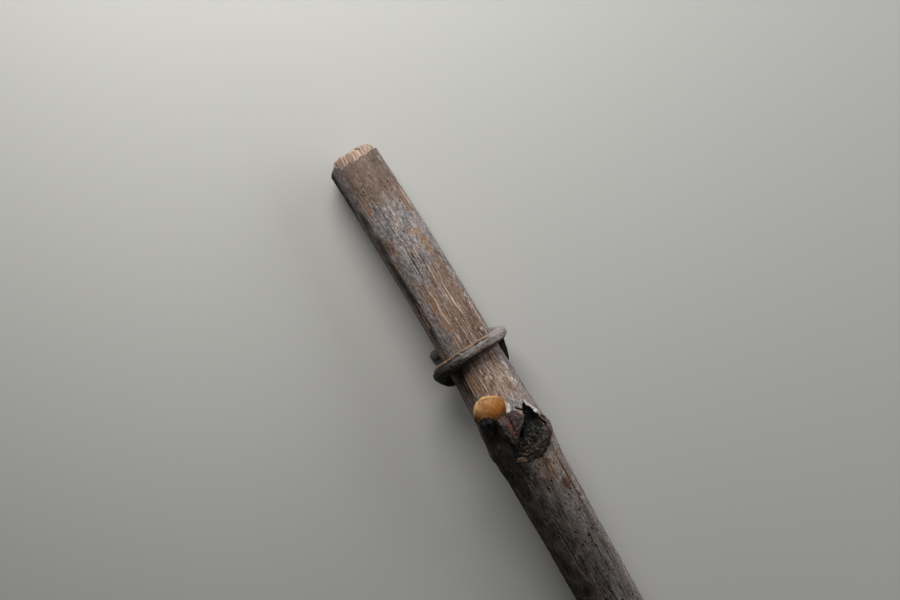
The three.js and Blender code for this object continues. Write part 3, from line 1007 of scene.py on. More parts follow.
# The thin end's knob is rounded over this length. The broken end is a cup, so deep and so long past
# the rim, with these steps in all, up its wall and round its rim.
KNOB_LENGTH = 0.95
CUP_DEPTH, CUP_LIP = 2.2, 0.4
CUP_STEPS, CUP_WALL_STEPS, CUP_RIM_STEPS = 26, 14, 6
TENDRIL_GREY = (0.190, 0.170, 0.158)
TENDRIL_PALE = (0.340, 0.300, 0.288)
TENDRIL_BROWN = (0.150, 0.098, 0.066)
TENDRIL_TAN = (0.235, 0.155, 0.106)
# The orange of the painted highlight on the tail's outer edge.
TENDRIL_LIT_ORANGE = (0.260, 0.140, 0.075)
TENDRIL_BLACK = (0.014, 0.012, 0.010)


def tendril_fissures(place):
    """1 in the long cracks of the tendril's skin, 0 elsewhere."""
    lines = noise(place, (0.22, 2.6, 2.6), detail=3.0, rough=0.6, Distortion=0.4)
    where = noise(place, (0.3, 1.0, 1.0))
    return (1.0 - (lines - 0.5).math("ABSOLUTE").smooth(0.006, 0.04)) * where.smooth(0.38, 0.54)


def parts_of(vector):
    """The X, Y and Z of a vector."""
    split = vector.tree.nodes.new("ShaderNodeSeparateXYZ")
    vector.tree.links.new(vector.socket, split.inputs[0])
    return [Field(vector.tree, socket) for socket in split.outputs]


def tendril_seam(place, turn_round):
    """The seam along the tip side: how far off it is, the strand beyond it, and where there is one."""
    _, towards_base, outness = parts_of(place)
    jagged = noise(place, (1.1, 0.6, 0.6), detail=3.0, rough=0.65) - 0.5
    across = towards_base + jagged * 0.8 + 0.84
    there = outness.smooth(-0.2, 0.2) * turn_round.smooth(45.0, 25.0) * turn_round.smooth(-130.0, -110.0)
    return across.math("ABSOLUTE"), across.smooth(0.06, -0.06) * there, there


tendril_paint, paint, tendril_shader = new_material("weathered_tendril", 0.75, specular=0.2)
place = attribute(paint, "tendril_place", vector=True)
turn_round = attribute(paint, "tendril_turn")
broken = attribute(paint, "broken")
_, towards_base, outness = parts_of(place)
fissures = tendril_fissures(place)
grain = noise(place, (0.5, 6.0, 6.0), detail=4.0, rough=0.65)
blotch = noise(place, (0.5, 0.9, 0.9), detail=4.0, rough=0.6)
pitted = noise(place, (1.8, 3.6, 3.6), detail=4.0, rough=0.7)
seam, strand, seamed = tendril_seam(place, turn_round)
brown_side = (towards_base + (blotch - 0.5) * 1.8).smooth(0.0, 0.55)
smooth_side = (turn_round + (blotch - 0.5) * 60.0).smooth(20.0, 60.0)
# Painted shade: the left side and the side towards the base go black.
shaded_left_side = (turn_round + (blotch - 0.5) * 50.0).smooth(5.0, -42.0)
shaded_base_side = (towards_base + (blotch - 0.5) * 0.4).smooth(0.62, 1.0)
# Painted shade: black on the part behind the cane, a little less towards the knob.
behind = turn_round.math("ABSOLUTE").smooth(130.0, 190.0) * (1.0 - turn_round.smooth(202.0, 214.0) * 0.4)
# Painted highlight: an orange line along the outer edge of the tail at the broken end.
lit_outer_line = (outness * 0.8 + (blotch - 0.5) * 0.8 + (grain - 0.5) * 0.8).smooth(0.22, 0.5)
lit_outer_line = lit_outer_line * turn_round.smooth(-190.0, -206.0) * turn_round.smooth(-231.0, -225.0)
tendril_colour = coats(
    blend((grain * 0.5 + blotch * 0.5).smooth(0.42, 0.62), TENDRIL_GREY, TENDRIL_PALE),
    (brown_side * 0.85, TENDRIL_BROWN),
    (smooth_side * 0.8, TENDRIL_PALE),
    (shaded_left_side * 0.86, TENDRIL_BLACK),
    (shaded_base_side * 0.85, TENDRIL_BLACK),
    (strand * 0.9, TENDRIL_TAN),
    (seam.smooth(0.15, 0.05) * seamed * 0.97, TENDRIL_BLACK),
    (fissures * (1.0 - smooth_side * 0.6) * 0.9, TENDRIL_BLACK),
    (pitted.smooth(0.47, 0.36) * (1.0 - smooth_side * 0.7) * 0.8, TENDRIL_BLACK),
    (behind * 0.9, TENDRIL_BLACK),
    (lit_outer_line, TENDRIL_LIT_ORANGE),
    # Inside the broken cup: brown at its rim, and black deeper in as painted shade.
    (broken.smooth(0.1, 0.5), TENDRIL_BROWN),
    (broken.smooth(0.40, 0.8), TENDRIL_BLACK),
)
paint_with(tendril_shader, tendril_colour, grain, strength=0.7)


def swept_round(wire, sides, half_thick):
    """A closed round rod along a curve, with a half thickness in mm for each of its points."""
    rim = node(
        wire.tree, "GeometryNodeCurvePrimitiveCircle", {"Resolution": sides, "Radius": 1.0}, mode="RADIUS"
    )
    return node(
        wire.tree,
        "GeometryNodeCurveToMesh",
        {"Curve": wire, "Profile Curve": rim, "Scale": half_thick, "Fill Caps": True},
    )


tendril_tree, tendril_in = tree_with_inputs(
    "wound_tendril",
    {"Sides": TENDRIL_SIDES, "Fissure Depth": 0.2, "Ridges": 0.22, "Lumps": 0.22, "Seam Depth": 0.22},
)
position = node(tendril_tree, "GeometryNodeInputPosition")
wire = node(tendril_tree, "GeometryNodeMeshToCurve", {"Mesh": tendril_in["Geometry"]})
wire = store(wire, "middle", position, "FLOAT_VECTOR")
wire = store(wire, "arc", node(tendril_tree, "GeometryNodeSplineParameter", output="Length"))
swept = swept_round(wire, tendril_in["Sides"], stored(tendril_tree, "half_thick"))
from_middle = position.vector("SUBTRACT", stored(tendril_tree, "middle", "FLOAT_VECTOR"))
away_from_cane = node(
    tendril_tree,
    "ShaderNodeVectorMath",
    (from_middle, stored(tendril_tree, "away", "FLOAT_VECTOR")),
    output="Value",
    operation="DOT_PRODUCT",
)
section_place = combined(stored(tendril_tree, "arc"), parts_of(from_middle)[0], away_from_cane)
swept = store(swept, "tendril_place", section_place, "FLOAT_VECTOR")
spot = stored(tendril_tree, "tendril_place", "FLOAT_VECTOR")
ridge = noise(spot, (0.25, 1.9, 1.9), detail=3.0, rough=0.65, Distortion=0.3) - 0.5
lump = noise(spot, (0.3, 0.45, 0.45)) - 0.5
seam, _, seamed = tendril_seam(spot, stored(tendril_tree, "tendril_turn"))
relief = (
    ridge * tendril_in["Ridges"] * 2.0
    + lump * tendril_in["Lumps"] * 2.0
    - tendril_fissures(spot) * tendril_in["Fissure Depth"]
    - seam.smooth(0.16, 0.02) * seamed * tendril_in["Seam Depth"]
)
relief = relief * stored(tendril_tree, "under") - 0.05
offset = from_middle.vector("NORMALIZE").scaled(relief)
offset = offset.vector("ADD", stored(tendril_tree, "fold_in", "FLOAT_VECTOR"))
swept = node(tendril_tree, "GeometryNodeSetPosition", {"Geometry": swept, "Offset": offset})
end_tree(swept, tendril_paint)


def tendril_wire():
    """The line that the tendril follows, with its thickness, and its broken end folded inwards."""
    turn = np.linspace(TENDRIL_STATION[0][0], TENDRIL_STATION[-1][0], TENDRIL_STEPS)
    thick = along(TENDRIL_HALF_THICK, turn)
    station = along(TENDRIL_STATION, turn)
    line = on_cane(station, turn, along(TENDRIL_SPACE, turn) + thick)
    away = way_out(station, turn)
    away /= np.linalg.norm(away, axis=1, keepdims=True)
    gaps = np.linalg.norm(np.diff(line, axis=0), axis=1)
    arc = np.concatenate([[0], np.cumsum(gaps)])
    from_knob = np.clip((arc[-1] - arc) / KNOB_LENGTH, 0.0, 1)
    thick = thick * np.sqrt(np.clip(1 - (1 - from_knob) ** 2, 0.0025, 1))
    cup = np.linspace(1, 0, CUP_STEPS)[:, None]
    tangent = (line[0] - line[1]) / np.linalg.norm(line[0] - line[1])
    cup_line = line[0] + tangent * (cup * CUP_LIP + 0.01)
    cup_floor = np.linspace(0.05, 0.72, CUP_STEPS - CUP_RIM_STEPS)
    cup_thick = thick[0] * np.concatenate([cup_floor, np.linspace(0.78, 0.99, CUP_RIM_STEPS)])
    cup_wall = np.linspace(CUP_DEPTH, 0, CUP_WALL_STEPS)
    depth = np.concatenate([np.full(CUP_STEPS - CUP_WALL_STEPS, CUP_DEPTH), cup_wall])
    fold = np.concatenate([-tangent * (depth[:, None] + cup * CUP_LIP), np.zeros_like(line)])
    inside = np.concatenate([np.clip(depth / CUP_DEPTH * 2.0 + 0.25, 0, 1), np.zeros(len(line))])
    line = np.concatenate([cup_line, line])
    mesh = bpy.data.meshes.new("tendril_wire")
    mesh.from_pydata(line.tolist(), [(i, i + 1) for i in range(len(line) - 1)], [])
    keep(mesh, "half_thick", np.concatenate([cup_thick, thick]))
    keep(mesh, "away", np.concatenate([np.repeat(away[:1], CUP_STEPS, axis=0), away]))
    keep(mesh, "fold_in", fold)
    low = np.array([(LAY @ Vector(spot)).z / MM for spot in line])
    keep(mesh, "under", 0.25 + 0.75 * rise(low, 1.3, 3.0))
    keep(mesh, "broken", inside)
    keep(mesh, "tendril_turn", np.concatenate([np.full(CUP_STEPS, turn[0]), turn]))
    return mesh


place_piece("wound_tendril", grow("wound_tendril", tendril_wire(), tendril_tree), "tendril")


# Loose strings
# Pale strings of inner bark that have come loose where the grey skin is gone. Two bundles lie in
# the middle of the upper internode, and finer ones lie round them and beyond the tendril.
STRING_SIDES = 5
# The two bundles: their own name and the part's, and the turns that they run through.
STRIPS = [
    ("loose_strings_inner", "bark_strip_inner", [(25.8, -10.8), (28, -8.4), (30, -9.6), (33.5, -6.8)]),
    ("loose_strings_outer", "bark_strip_outer", [(23.8, 27.6), (27, 23.7), (30, 24.6), (33.2, 28.4)]),
]
BUNDLE_STRINGS = 8
# Single pale strands: the stations of both ends, the turn, half the thickness in mm.
PALE_STRANDS = [
    (20.8, 27, 15.3, 0.07), (26, 31, 17.5, 0.05), (33, 37, 12.0, 0.05), (29, 37, 62.5, 0.09),
    (31, 36.5, 59.5, 0.05), (43.8, 46.7, 28, 0.09), (42.2, 46.8, -9.5, 0.10), (41.6, 43.2, -1.5, 0.10),
    (41, 46.5, 33, 0.05), (40.8, 47, -35, 0.05), (28, 33, 3, 0.05), (34.5, 37, -5, 0.08),
    (36, 37.2, 40, 0.05), (7.5, 12.3, 66, 0.08), (44.5, 48, 15, 0.05), (41, 45, 20, 0.05),
    (1.2, 3.0, 62, 0.08),
]
STRAND_STRINGS = 3
# The strands and the fine strings together. None of the fine strings lies on the stations under the tendril.
FIBRE_COUNT = 400
UNDER_TENDRIL = (36, 41)
FIBRE_PALE = (0.56, 0.44, 0.35)
FIBRE_TAN = (0.25, 0.165, 0.115)

string_paint, paint, string_shader = new_material("inner_bark_string", 0.8, specular=0.25)
shade = attribute(paint, "shade")
streak = noise(attribute(paint, "cane_place", vector=True), (0.6, 5.0, 5.0), detail=3.0)
paint_with(string_shader, blend((shade + (streak - 0.5) * 0.9).smooth(0.1, 0.9), FIBRE_TAN, FIBRE_PALE))

string_tree, string_in = tree_with_inputs("bark_strings", {"Sides": STRING_SIDES, "Thickness": 1.0})
wires = node(string_tree, "GeometryNodeMeshToCurve", {"Mesh": string_in["Geometry"]})
half_thick = stored(string_tree, "half_thick") * string_in["Thickness"]
end_tree(swept_round(wires, string_in["Sides"], half_thick), string_paint)

draw = np.random.default_rng(41)


def string_wires(name, rows):
    """Lines along the cane: station, path of turns, length, half thickness, lift of the ends, shade."""
    points, edges, thick, shades, places = [], [], [], [], []
    for station, path, length, half_thick, lift, shade in rows:
        steps = max(6, int(length * 2.5))
        share = np.linspace(0, 1, steps)
        at = station + (share - 0.5) * length
        wave = draw.normal(0, 0.25) * np.sin(share * 5) + draw.normal(0, 0.12) * np.sin(share * 17)
        first = len(points)
        line = on_cane(at, along(path, at) + wave, 0.03 + lift * np.abs(2 * share - 1) ** 3)
        points.extend(line.tolist())
        edges.extend((first + i, first + i + 1) for i in range(steps - 1))
        ragged = 1 + 0.3 * np.sin(share * length * 3.1 + station)
        pointed = np.sqrt(np.clip(np.sin(np.pi * np.clip(share, 0.02, 0.98)), 0.05, 1))
        thick.extend(half_thick * ragged * pointed)
        shades.extend([shade] * steps)
        places.extend(np.stack([at, line[:, 1], line[:, 2]], axis=-1).tolist())
    mesh = bpy.data.meshes.new(name)
    mesh.from_pydata(points, edges, [])
    keep(mesh, "half_thick", thick)
    keep(mesh, "shade", shades)
    keep(mesh, "cane_place", places)
    return mesh


for name, replaced, path in STRIPS:
    start, end = path[0][0], path[-1][0]
    rows = []
    for _ in range(BUNDLE_STRINGS):
        length = (end - start) * draw.uniform(0.4, 0.95)
        middle = draw.uniform(start + length / 2, end - length / 2)
        beside = [(station, turn + draw.normal(0, 0.9)) for station, turn in path]
        rows.append((middle, beside, length, draw.uniform(0.05, 0.10), 0.12, draw.uniform(0.5, 1.0)))
    place_piece(name, grow(name, string_wires(name, rows), string_tree), replaced)

rows = []
for start, end, turn, half_thick in PALE_STRANDS:
    for _ in range(STRAND_STRINGS):
        length = (end - start) * draw.uniform(0.5, 1.0)
        path = [(0, turn + draw.normal(0, 0.9)), (CANE_LENGTH, turn)]
        rows.append(((start + end) / 2, path, length, half_thick * draw.uniform(0.6, 1.0), 0.05, 0.7))
while len(rows) < FIBRE_COUNT:
    station, turn = draw.uniform(1, 49), draw.uniform(-60, 75)
    if UNDER_TENDRIL[0] < station < UNDER_TENDRIL[1]:
        continue
    here = np.array([station]), np.array([turn])
    uncovered = placed_sum(*here, BARE_PATCHES)[0] - placed_sum(*here, GREY_PATCHES)[0]
    if uncovered * rise(station, 0, 14) < draw.uniform(0.1, 0.8):
        continue
    path = [(0, turn), (CANE_LENGTH, turn + draw.normal(0, 8))]
    rows.append(
        (station, path, draw.uniform(0.6, 3.2), draw.uniform(0.02, 0.06), 0.04, draw.uniform(-0.3, 0.7))
    )
mesh = grow("loose_fibres", string_wires("loose_fibres", rows), string_tree)
place_piece("loose_fibres", mesh, "cane")


# The side shoot base
# The base of a side shoot that was torn out: a striped wall next to the bud, and right of it a deep hollow
# with dark fibres, open at the lower end. The hollow's black, which reaches up under the flap, and the black
# at the foot of the wall and the shoulder are painted shade. The pale margins of the wall and the shoulder,
# and the brighter fibres where the hollow is shallow, are painted light.
BASE_STATIONS, BASE_TURNS, BASE_GRID = (49.4, 58.8), (-18, 80), 205
# The wall and the shoulder, as they are seen from above: station and place on Y.
WALL_OUTLINE = [
    (50.6, 2.4), (50.3, 1.1), (51.3, 0.0), (54.5, -0.2), (56.4, -0.9), (56.7, -0.3), (55.6, 0.8),
    (54.3, 2.3), (53.3, 3.1), (52.6, 3.7), (51.6, 3.5),
]
SHOULDER_OUTLINE = [
    (53.4, 5.3), (55.5, 5.1), (57.0, 4.8), (58.0, 4.7), (58.4, 5.6), (57.0, 6.9), (55.0, 6.9), (53.6, 6.4),
]
WALL_HEIGHT, SHOULDER_HEIGHT = 1.7, 0.75
RECESS_FLOOR = [(50, -0.4), (51.5, -1.0), (53.5, -1.2), (55.5, -0.7), (57.5, -0.3)]
# How far the back of a piece that lies on the cane is sunk into the bark.
PATCH_DEPTH = 0.9
WALL_MAUVE = (0.045, 0.028, 0.025)
WALL_PALE = (0.140, 0.104, 0.096)
WALL_PURPLE = (0.028, 0.013, 0.014)
WALL_TAN = (0.330, 0.215, 0.150)
# The black of the hollow's dark fibres and of painted shade, and the green of its lit fibres.
HOLLOW_BLACK = (0.007, 0.007, 0.006)
HOLLOW_GREEN = (0.115, 0.104, 0.082)
base_paint, paint, base_shader = new_material("torn_shoot_base", 0.7, specular=0.3)
place = attribute(paint, "cane_place", vector=True)
stripes = noise(place, (0.9, 3.0, 3.0), detail=4.0, rough=0.65)
flecks = noise(place, (2.0, 3.2, 3.2), detail=4.0, rough=0.65)
# Painted light: where the hollow is shallow, more of its fibres are lit.
lit_fibres = stripes * 0.6 + flecks * 0.4 + attribute(paint, "shallow") * 0.05
base_colour = coats(
    blend(stripes.smooth(0.45, 0.70), WALL_MAUVE, WALL_PALE),
    (flecks.smooth(0.54, 0.40) * 0.85, WALL_PURPLE),
    # Painted highlight: the pale margins of the wall and the shoulder.
    ((attribute(paint, "margin") + (flecks - 0.5) * 1.6).smooth(0.35, 0.85) * 0.8, WALL_PALE),
    ((attribute(paint, "tan_share") + (flecks - 0.5) * 0.8).smooth(0.35, 0.8), WALL_TAN),
    # Painted shade: black at the foot of the wall and the shoulder, where they meet the bark.
    ((attribute(paint, "foot") + (flecks - 0.5) * 1.6).smooth(0.25, 0.9) * 0.8, HOLLOW_BLACK),
    # The hollow is black, as dark fibres and painted shade, with its lit fibres showing green.
    (
        (attribute(paint, "hollow") + (flecks - 0.5) * 1.4).smooth(0.15, 0.5),
        blend(lit_fibres.smooth(0.58, 0.67), HOLLOW_BLACK, HOLLOW_GREEN),
    ),
)
paint_with(base_shader, base_colour, stripes)


def base_relief(spot, given):
    """The height of the stripes on the wall, and of the coarser folds in the hollow."""
    stripes = noise(spot, (0.6, 2.8, 2.8), detail=3.0, rough=0.65) - 0.5
    folds = noise(spot, (0.7, 1.2, 1.2), detail=3.0, rough=0.65) - 0.5
    crumple = noise(spot, (1.7, 2.4, 2.4), detail=3.0, rough=0.65) - 0.5
    deeper = stored(spot.tree, "hollow") * 1.4 + 1.0
    return (stripes * given["Stripes"] + folds * given["Folds"]) * deeper + crumple * given["Crumple"]


base_tree = relief_tree(
    "shoot_base_relief", {"Stripes": 0.35, "Folds": 0.6, "Crumple": 0.5}, base_relief, base_paint
)


def skin_patch(name, station, turn, height, extras):
    """A closed piece that lies on the cane: a grid of heights above the bark, and a sunken back."""
    top = on_cane(station, turn, height)
    back = on_cane(station, turn, np.minimum(height, 0) - PATCH_DEPTH)
    rows, columns = station.shape
    count = rows * columns
    index = np.arange(count).reshape(rows, columns)
    up = closed_grid(top, wrap=False)
    edge = np.concatenate([index[0, :-1], index[:-1, -1], index[-1, :0:-1], index[:0:-1, 0]])
    after = np.roll(edge, -1)
    sides = np.stack([edge, edge + count, after + count, after], axis=-1)
    faces = np.concatenate([up, up[:, ::-1] + count, sides])
    mesh = mesh_from(name, np.concatenate([top.reshape(-1, 3), back.reshape(-1, 3)]), faces)
    spot = unbowed(station, turn, height)
    away = way_out(station, turn)
    keep(mesh, "cane_place", np.concatenate([spot, spot]).reshape(-1, 3))
    keep(mesh, "out", np.concatenate([away, np.zeros_like(away)]).reshape(-1, 3))
    for key, values in extras.items():
        keep(mesh, key, np.concatenate([values, values]).reshape(-1))
    return mesh


def shoot_base_mesh():
    """The wall, the shoulder and the hollow, with what guides their paint."""
    station, turn = np.meshgrid(
        np.linspace(*BASE_STATIONS, BASE_GRID), np.linspace(*BASE_TURNS, BASE_GRID), indexing="ij"
    )
    across = on_cane(station, turn)[..., 1]
    wall = within(WALL_OUTLINE, station, across)
    shoulder = within(SHOULDER_OUTLINE, station, across)
    recess = within(RECESS_OUTLINE, station, across)
    height = np.maximum(WALL_HEIGHT * rise(wall, -0.2, 1.2), SHOULDER_HEIGHT * rise(shoulder, -0.2, 0.9))
    height -= 0.35 + 0.8 * rise(-np.maximum(np.maximum(wall, shoulder), recess), 0.0, 0.45)
    sunk = rise(recess, -0.05, 0.35)
    height += sunk * (along(RECESS_FLOOR, station) - height)
    # Painted shade under the flap, and a painted highlight along the wall's edge.
    under_flap = rise(recess, -0.75, -0.3) * rise(across, 3.9, 4.4) * rise(-station, -56.4, -55.0)
    wall_edge = bell((recess + 0.3) / 0.25) * rise(wall, 0, 0.4) * rise(-station, -54.4, -53.2)
    bits = bell((station - 54.3) / 1.0, (across - 5.4) / 0.35)
    marks = {
        "hollow": np.clip(np.maximum(sunk, under_flap) - 0.8 * bits, 0, 1),
        "shallow": rise(station, 53.5, 56.0),
        "margin": wall_edge + 0.9 * rise(shoulder, 0.2, 0.8) * rise(across, 5.3, 5.9),
        "tan_share": 0.8 * bits + bell((station - 51.4) / 0.8, (across - 2.85) / 0.4),
        "foot": rise(-wall, -0.55, 0.0) * rise(-shoulder, -0.4, 0.0),
    }
    return skin_patch("shoot_base", station, turn, height, marks)


place_piece("shoot_base", grow("shoot_base", shoot_base_mesh(), base_tree), "side_shoot_base")


# The bark flap
# A shred of bark on the right side of the hollow. It is still grown on at its foot, stands up and
# curls over, and its upper edge is torn.
FLAP_FOOT = [(50.0, 43.5), (53.4, 56.5), (56.8, 65.5)]
FLAP_TALL = [(0, 0.2), (0.10, 1.1), (0.42, 1.4), (0.55, 0.8), (1, 0.25)]
FLAP_ROWS, FLAP_COLUMNS = 150, 26
# The flap's thickness, how far round it curls in radians, and half the cane's thickness where it is.
FLAP_THICK, FLAP_CURL, FLAP_OFF_AXIS = 0.12, 1.3, 5.8
# How many teeth the torn edge has along the flap, coarse and fine ones, and how deep they are.
FLAP_TEARS = [(13, 0.13), (41, 0.06)]
FLAP_GREY = (0.62, 0.59, 0.575)
FLAP_BROWN = (0.19, 0.125, 0.09)

flap_paint, paint, flap_shader = new_material("curled_bark_flap", 0.8, specular=0.25)
shreds = noise(attribute(paint, "cane_place", vector=True), (2.0, 3.6, 3.6), detail=5.0, rough=0.7)
# Pale grey on the flap: bleached skin, made paler towards its upper edge as painted highlight.
bleached = (attribute(paint, "bleached") + (shreds - 0.5) * 1.4).smooth(0.30, 0.65)
flap_colour = coats(
    blend(bleached, FLAP_BROWN, FLAP_GREY),
    (shreds.smooth(0.54, 0.40) * 0.85, SKIN_BLUE),
    (shreds.smooth(0.45, 0.35) * 0.9, GROOVE_BROWN),
)
paint_with(flap_shader, flap_colour)


def flap_relief(spot, given):
    """The height of the crumpled bark."""
    return (noise(spot, (0.9, 1.6, 1.6), detail=4.0, rough=0.6) - 0.5) * given["Crumple"]


flap_tree = relief_tree("flap_crumple", {"Crumple": 0.4}, flap_relief, flap_paint)


def flap_mesh():
    """The flap as a thin shell that stands on its foot and curls over towards the hollow."""
    share = np.linspace(0, 1, FLAP_ROWS)[:, None]
    high = np.linspace(0, 1, FLAP_COLUMNS)[None, :]
    station = FLAP_FOOT[0][0] + (FLAP_FOOT[-1][0] - FLAP_FOOT[0][0]) * share + 0 * high
    turn = along(FLAP_FOOT, station)
    tear = np.zeros_like(share)
    for teeth, depth in FLAP_TEARS:
        tear += np.interp(share, np.linspace(0, 1, teeth), draw.normal(0, depth, teeth))
    tall = along(FLAP_TALL, share) * (1 + tear)
    outside = 0.05 + 0.9 * tall * np.sin(high * FLAP_CURL)
    lean = 0.5 + 4.5 * high * tall + 8.0 * (1 - np.cos(high * FLAP_CURL)) * tall
    front = on_cane(station, turn - lean, outside)
    back = on_cane(station, turn - lean + math.degrees(FLAP_THICK / FLAP_OFF_AXIS), outside - 0.02)
    points, quads, fans = capped(np.concatenate([front, back[:, ::-1]], axis=1), turned=False)
    mesh = mesh_from("bark_flap_torn", points, quads, fans)
    up = np.concatenate([high, high[:, ::-1]], axis=1) + 0 * share
    side = on_cane(station, turn - 10, 0) - on_cane(station, turn, 0)
    side /= np.linalg.norm(side, axis=-1, keepdims=True)
    side = np.concatenate([side, side], axis=1) * up[..., None]
    keep(mesh, "cane_place", points)
    keep(mesh, "out", np.concatenate([side.reshape(-1, 3), np.zeros((2, 3))]))
    # Pale on the flap's first half as bleached skin, and paler still towards the upper edge as painted
    # highlight.
    pale = rise(-share, -0.62, -0.45) * (0.35 + 0.65 * up)
    keep(mesh, "bleached", np.concatenate([pale.reshape(-1), [0, 0]]))
    return mesh


place_piece("torn_bark_flap", grow("torn_bark_flap", flap_mesh(), flap_tree), "bark_flap")


# The leaf scar
# The mark of last year's leaf stalk, under the bud and the side shoot: a crescent of corky ridges,
# crinkled and cracked, one behind the other.
SCAR_TURNS, SCAR_ROWS, SCAR_COLUMNS = (-34, 78), 120, 290
SCAR_MIDDLE = [(-34, 58.0), (-20, 58.3), (0, 58.6), (24, 58.8), (42, 58.2), (58, 57.4), (78, 56.5)]
SCAR_HALF_WIDTH = [(-34, 0.5), (-20, 1.3), (0, 1.75), (24, 1.6), (42, 1.15), (58, 0.8), (78, 0.35)]
# How high the scar's crest stands, how far its edges are sunk, and how far it is from the axis.
SCAR_HEIGHT, SCAR_SUNK, SCAR_OFF_AXIS = 0.45, 0.55, 5.6
CORK_BLACK = (0.014, 0.011, 0.009)
CORK_BROWN = (0.092, 0.060, 0.043)
CORK_TAN = (0.290, 0.195, 0.130)


def scar_wrinkles(spot):
    """The wrinkles of the cork, drawn out along the scar: 1 on their crests and 0 between them."""
    height = 0.0
    for stretch, share in (((1.2, 1.7, 1.0), 0.6), ((2.8, 3.6, 1.0), 0.4)):
        field = noise(spot, stretch, rough=0.55, Distortion=0.7)
        height = (1.0 - (field - 0.5).math("ABSOLUTE").smooth(0.0, 0.10)) * share + height
    return height


scar_paint, paint, scar_shader = new_material("corky_scar", 0.85, specular=0.25)
place = attribute(paint, "scar_place", vector=True)
tan_end = attribute(paint, "tan_share")
wrinkles = scar_wrinkles(place)
crumbs = noise(place, (1.6, 3.0, 1.0), detail=5.0, rough=0.7)
charred = noise(place, (0.6, 1.2, 1.0), detail=3.0, rough=0.65)
scar_colour = coats(
    blend(wrinkles.smooth(0.15, 0.65), CORK_BLACK, CORK_BROWN),
    ((wrinkles * 0.3 + crumbs * 0.7 + tan_end * 0.32).smooth(0.60, 0.78), CORK_TAN),
    (crumbs.smooth(0.48, 0.36) * 0.8, CORK_BLACK),
    ((charred + tan_end * 0.1).smooth(0.58, 0.45) * 0.8, CORK_BLACK),
    (attribute(paint, "rim").smooth(0.3, 0.8) * 0.85, CORK_BLACK),
)
paint_with(scar_shader, scar_colour)


def scar_relief(spot, given):
    """The height of the wrinkles and of the wider folds under them."""
    folds = noise(spot, (0.5, 1.6, 1.0), rough=0.6) - 0.5
    return scar_wrinkles(spot) * given["Wrinkles"] + folds * given["Folds"] - 0.2


scar_tree = relief_tree(
    "scar_relief", {"Wrinkles": 0.2, "Folds": 0.9}, scar_relief, scar_paint, place_name="scar_place"
)


def scar_mesh():
    """The crescent, domed across its width and flat at both its ends."""
    across, turn = np.meshgrid(
        np.linspace(-1.1, 1.1, SCAR_ROWS), np.linspace(*SCAR_TURNS, SCAR_COLUMNS), indexing="ij"
    )
    half_width = along(SCAR_HALF_WIDTH, turn)
    station = along(SCAR_MIDDLE, turn) + across * half_width
    share = (turn - SCAR_TURNS[0]) / (SCAR_TURNS[1] - SCAR_TURNS[0])
    dome = np.clip(1 - np.abs(across) ** 4, -0.6, 1) * np.clip(1 - (2 * share - 1) ** 6, 0, 1)
    height = -SCAR_SUNK + (SCAR_HEIGHT + SCAR_SUNK) * dome
    marks = {
        "tan_share": 1.5 * bell((turn + 13) / 9, (across - 0.35) / 0.5),
        "rim": np.abs(across) ** 6,
    }
    mesh = skin_patch("leaf_scar", station, turn, height, marks)
    length = np.radians(turn) * SCAR_OFF_AXIS
    scar_place = np.stack([length, across * half_width, np.zeros_like(turn)], axis=-1)
    keep(mesh, "scar_place", np.concatenate([scar_place, scar_place]).reshape(-1, 3))
    return mesh


place_piece("corky_leaf_scar", grow("corky_leaf_scar", scar_mesh(), scar_tree), "leaf_scar")


# The bud scales
# Two dry papery scales hold the foot of the bud. The right one is a blunt cone, grey on its left side and red
# brown on its right. The left one is shrivelled and nearly black. Where the skin of either faces down towards
# the cane, and on the right one's far left side, shade is painted black. Pink on the right one's upper end
# and on the left one's paler streaks is painted highlight.
SCALE_RIGHT = {"station": 53.2, "turn": -8.0, "outside": 0.3, "half": (2.9, 1.3, 1.9)}
SCALE_LEFT = {"station": 50.5, "turn": -26.5, "outside": 0.9, "half": (1.5, 1.6, 2.3)}
SCALE_PINK_HIGHLIGHT = (0.140, 0.088, 0.076)
SCALE_GREY = (0.072, 0.060, 0.055)
SCALE_RED = (0.085, 0.028, 0.018)
SCALE_ORANGE = (0.200, 0.074, 0.034)
SCALE_PURPLE = (0.018, 0.008, 0.008)
SCALE_BLACK = (0.005, 0.004, 0.004)
MOUND_ROWS, MOUND_COLUMNS = 90, 120


def mound_mesh(name, station, turn, outside, half, bulge=lambda unit: 1.0):
    """A round closed piece on the cane, with each point's place in the mound from -1 to 1."""
    pole = np.linspace(0, math.pi, MOUND_ROWS + 2)[1:-1, None]
    spin = np.linspace(0, 2 * math.pi, MOUND_COLUMNS, endpoint=False)[None, :]
    unit = np.stack(
        [-np.cos(pole) + 0 * spin, np.sin(pole) * np.sin(spin), np.sin(pole) * np.cos(spin)], axis=-1
    )
    unit = np.concatenate([unit.reshape(-1, 3), [[-1, 0, 0], [1, 0, 0]]])
    angle = math.radians(turn)
    across = np.array([0, math.cos(angle), -math.sin(angle)])
    upward = np.array([0, math.sin(angle), math.cos(angle)])
    axes = np.stack([np.array([1.0, 0, 0]), across, upward])
    points = on_cane(station, turn, outside) + (unit * bulge(unit) * np.array(half)) @ axes
    normal = (unit / np.array(half)) @ axes
    normal /= np.linalg.norm(normal, axis=1, keepdims=True)
    rings, poles = points[:-2].reshape(MOUND_ROWS, MOUND_COLUMNS, 3), points[-2:]
    mesh = mesh_from(name, *capped(rings, turned=True, poles=poles))
    keep(mesh, "cane_place", points)
    keep(mesh, "out", normal)
    keep(mesh, "in_mound", unit)
    return mesh


def scale_folds(spot, given):
    """The height of the folds and of the finer crumples of a dry scale."""
    folds = noise(spot, (0.45, 1.5, 1.5), detail=3.0, rough=0.6, Distortion=0.6) - 0.5
    crumple = noise(spot, (1.6, 1.6, 1.6), detail=4.0, rough=0.6) - 0.5
    return folds * given["Folds"] * 2.0 + crumple * given["Crumple"] * 2.0


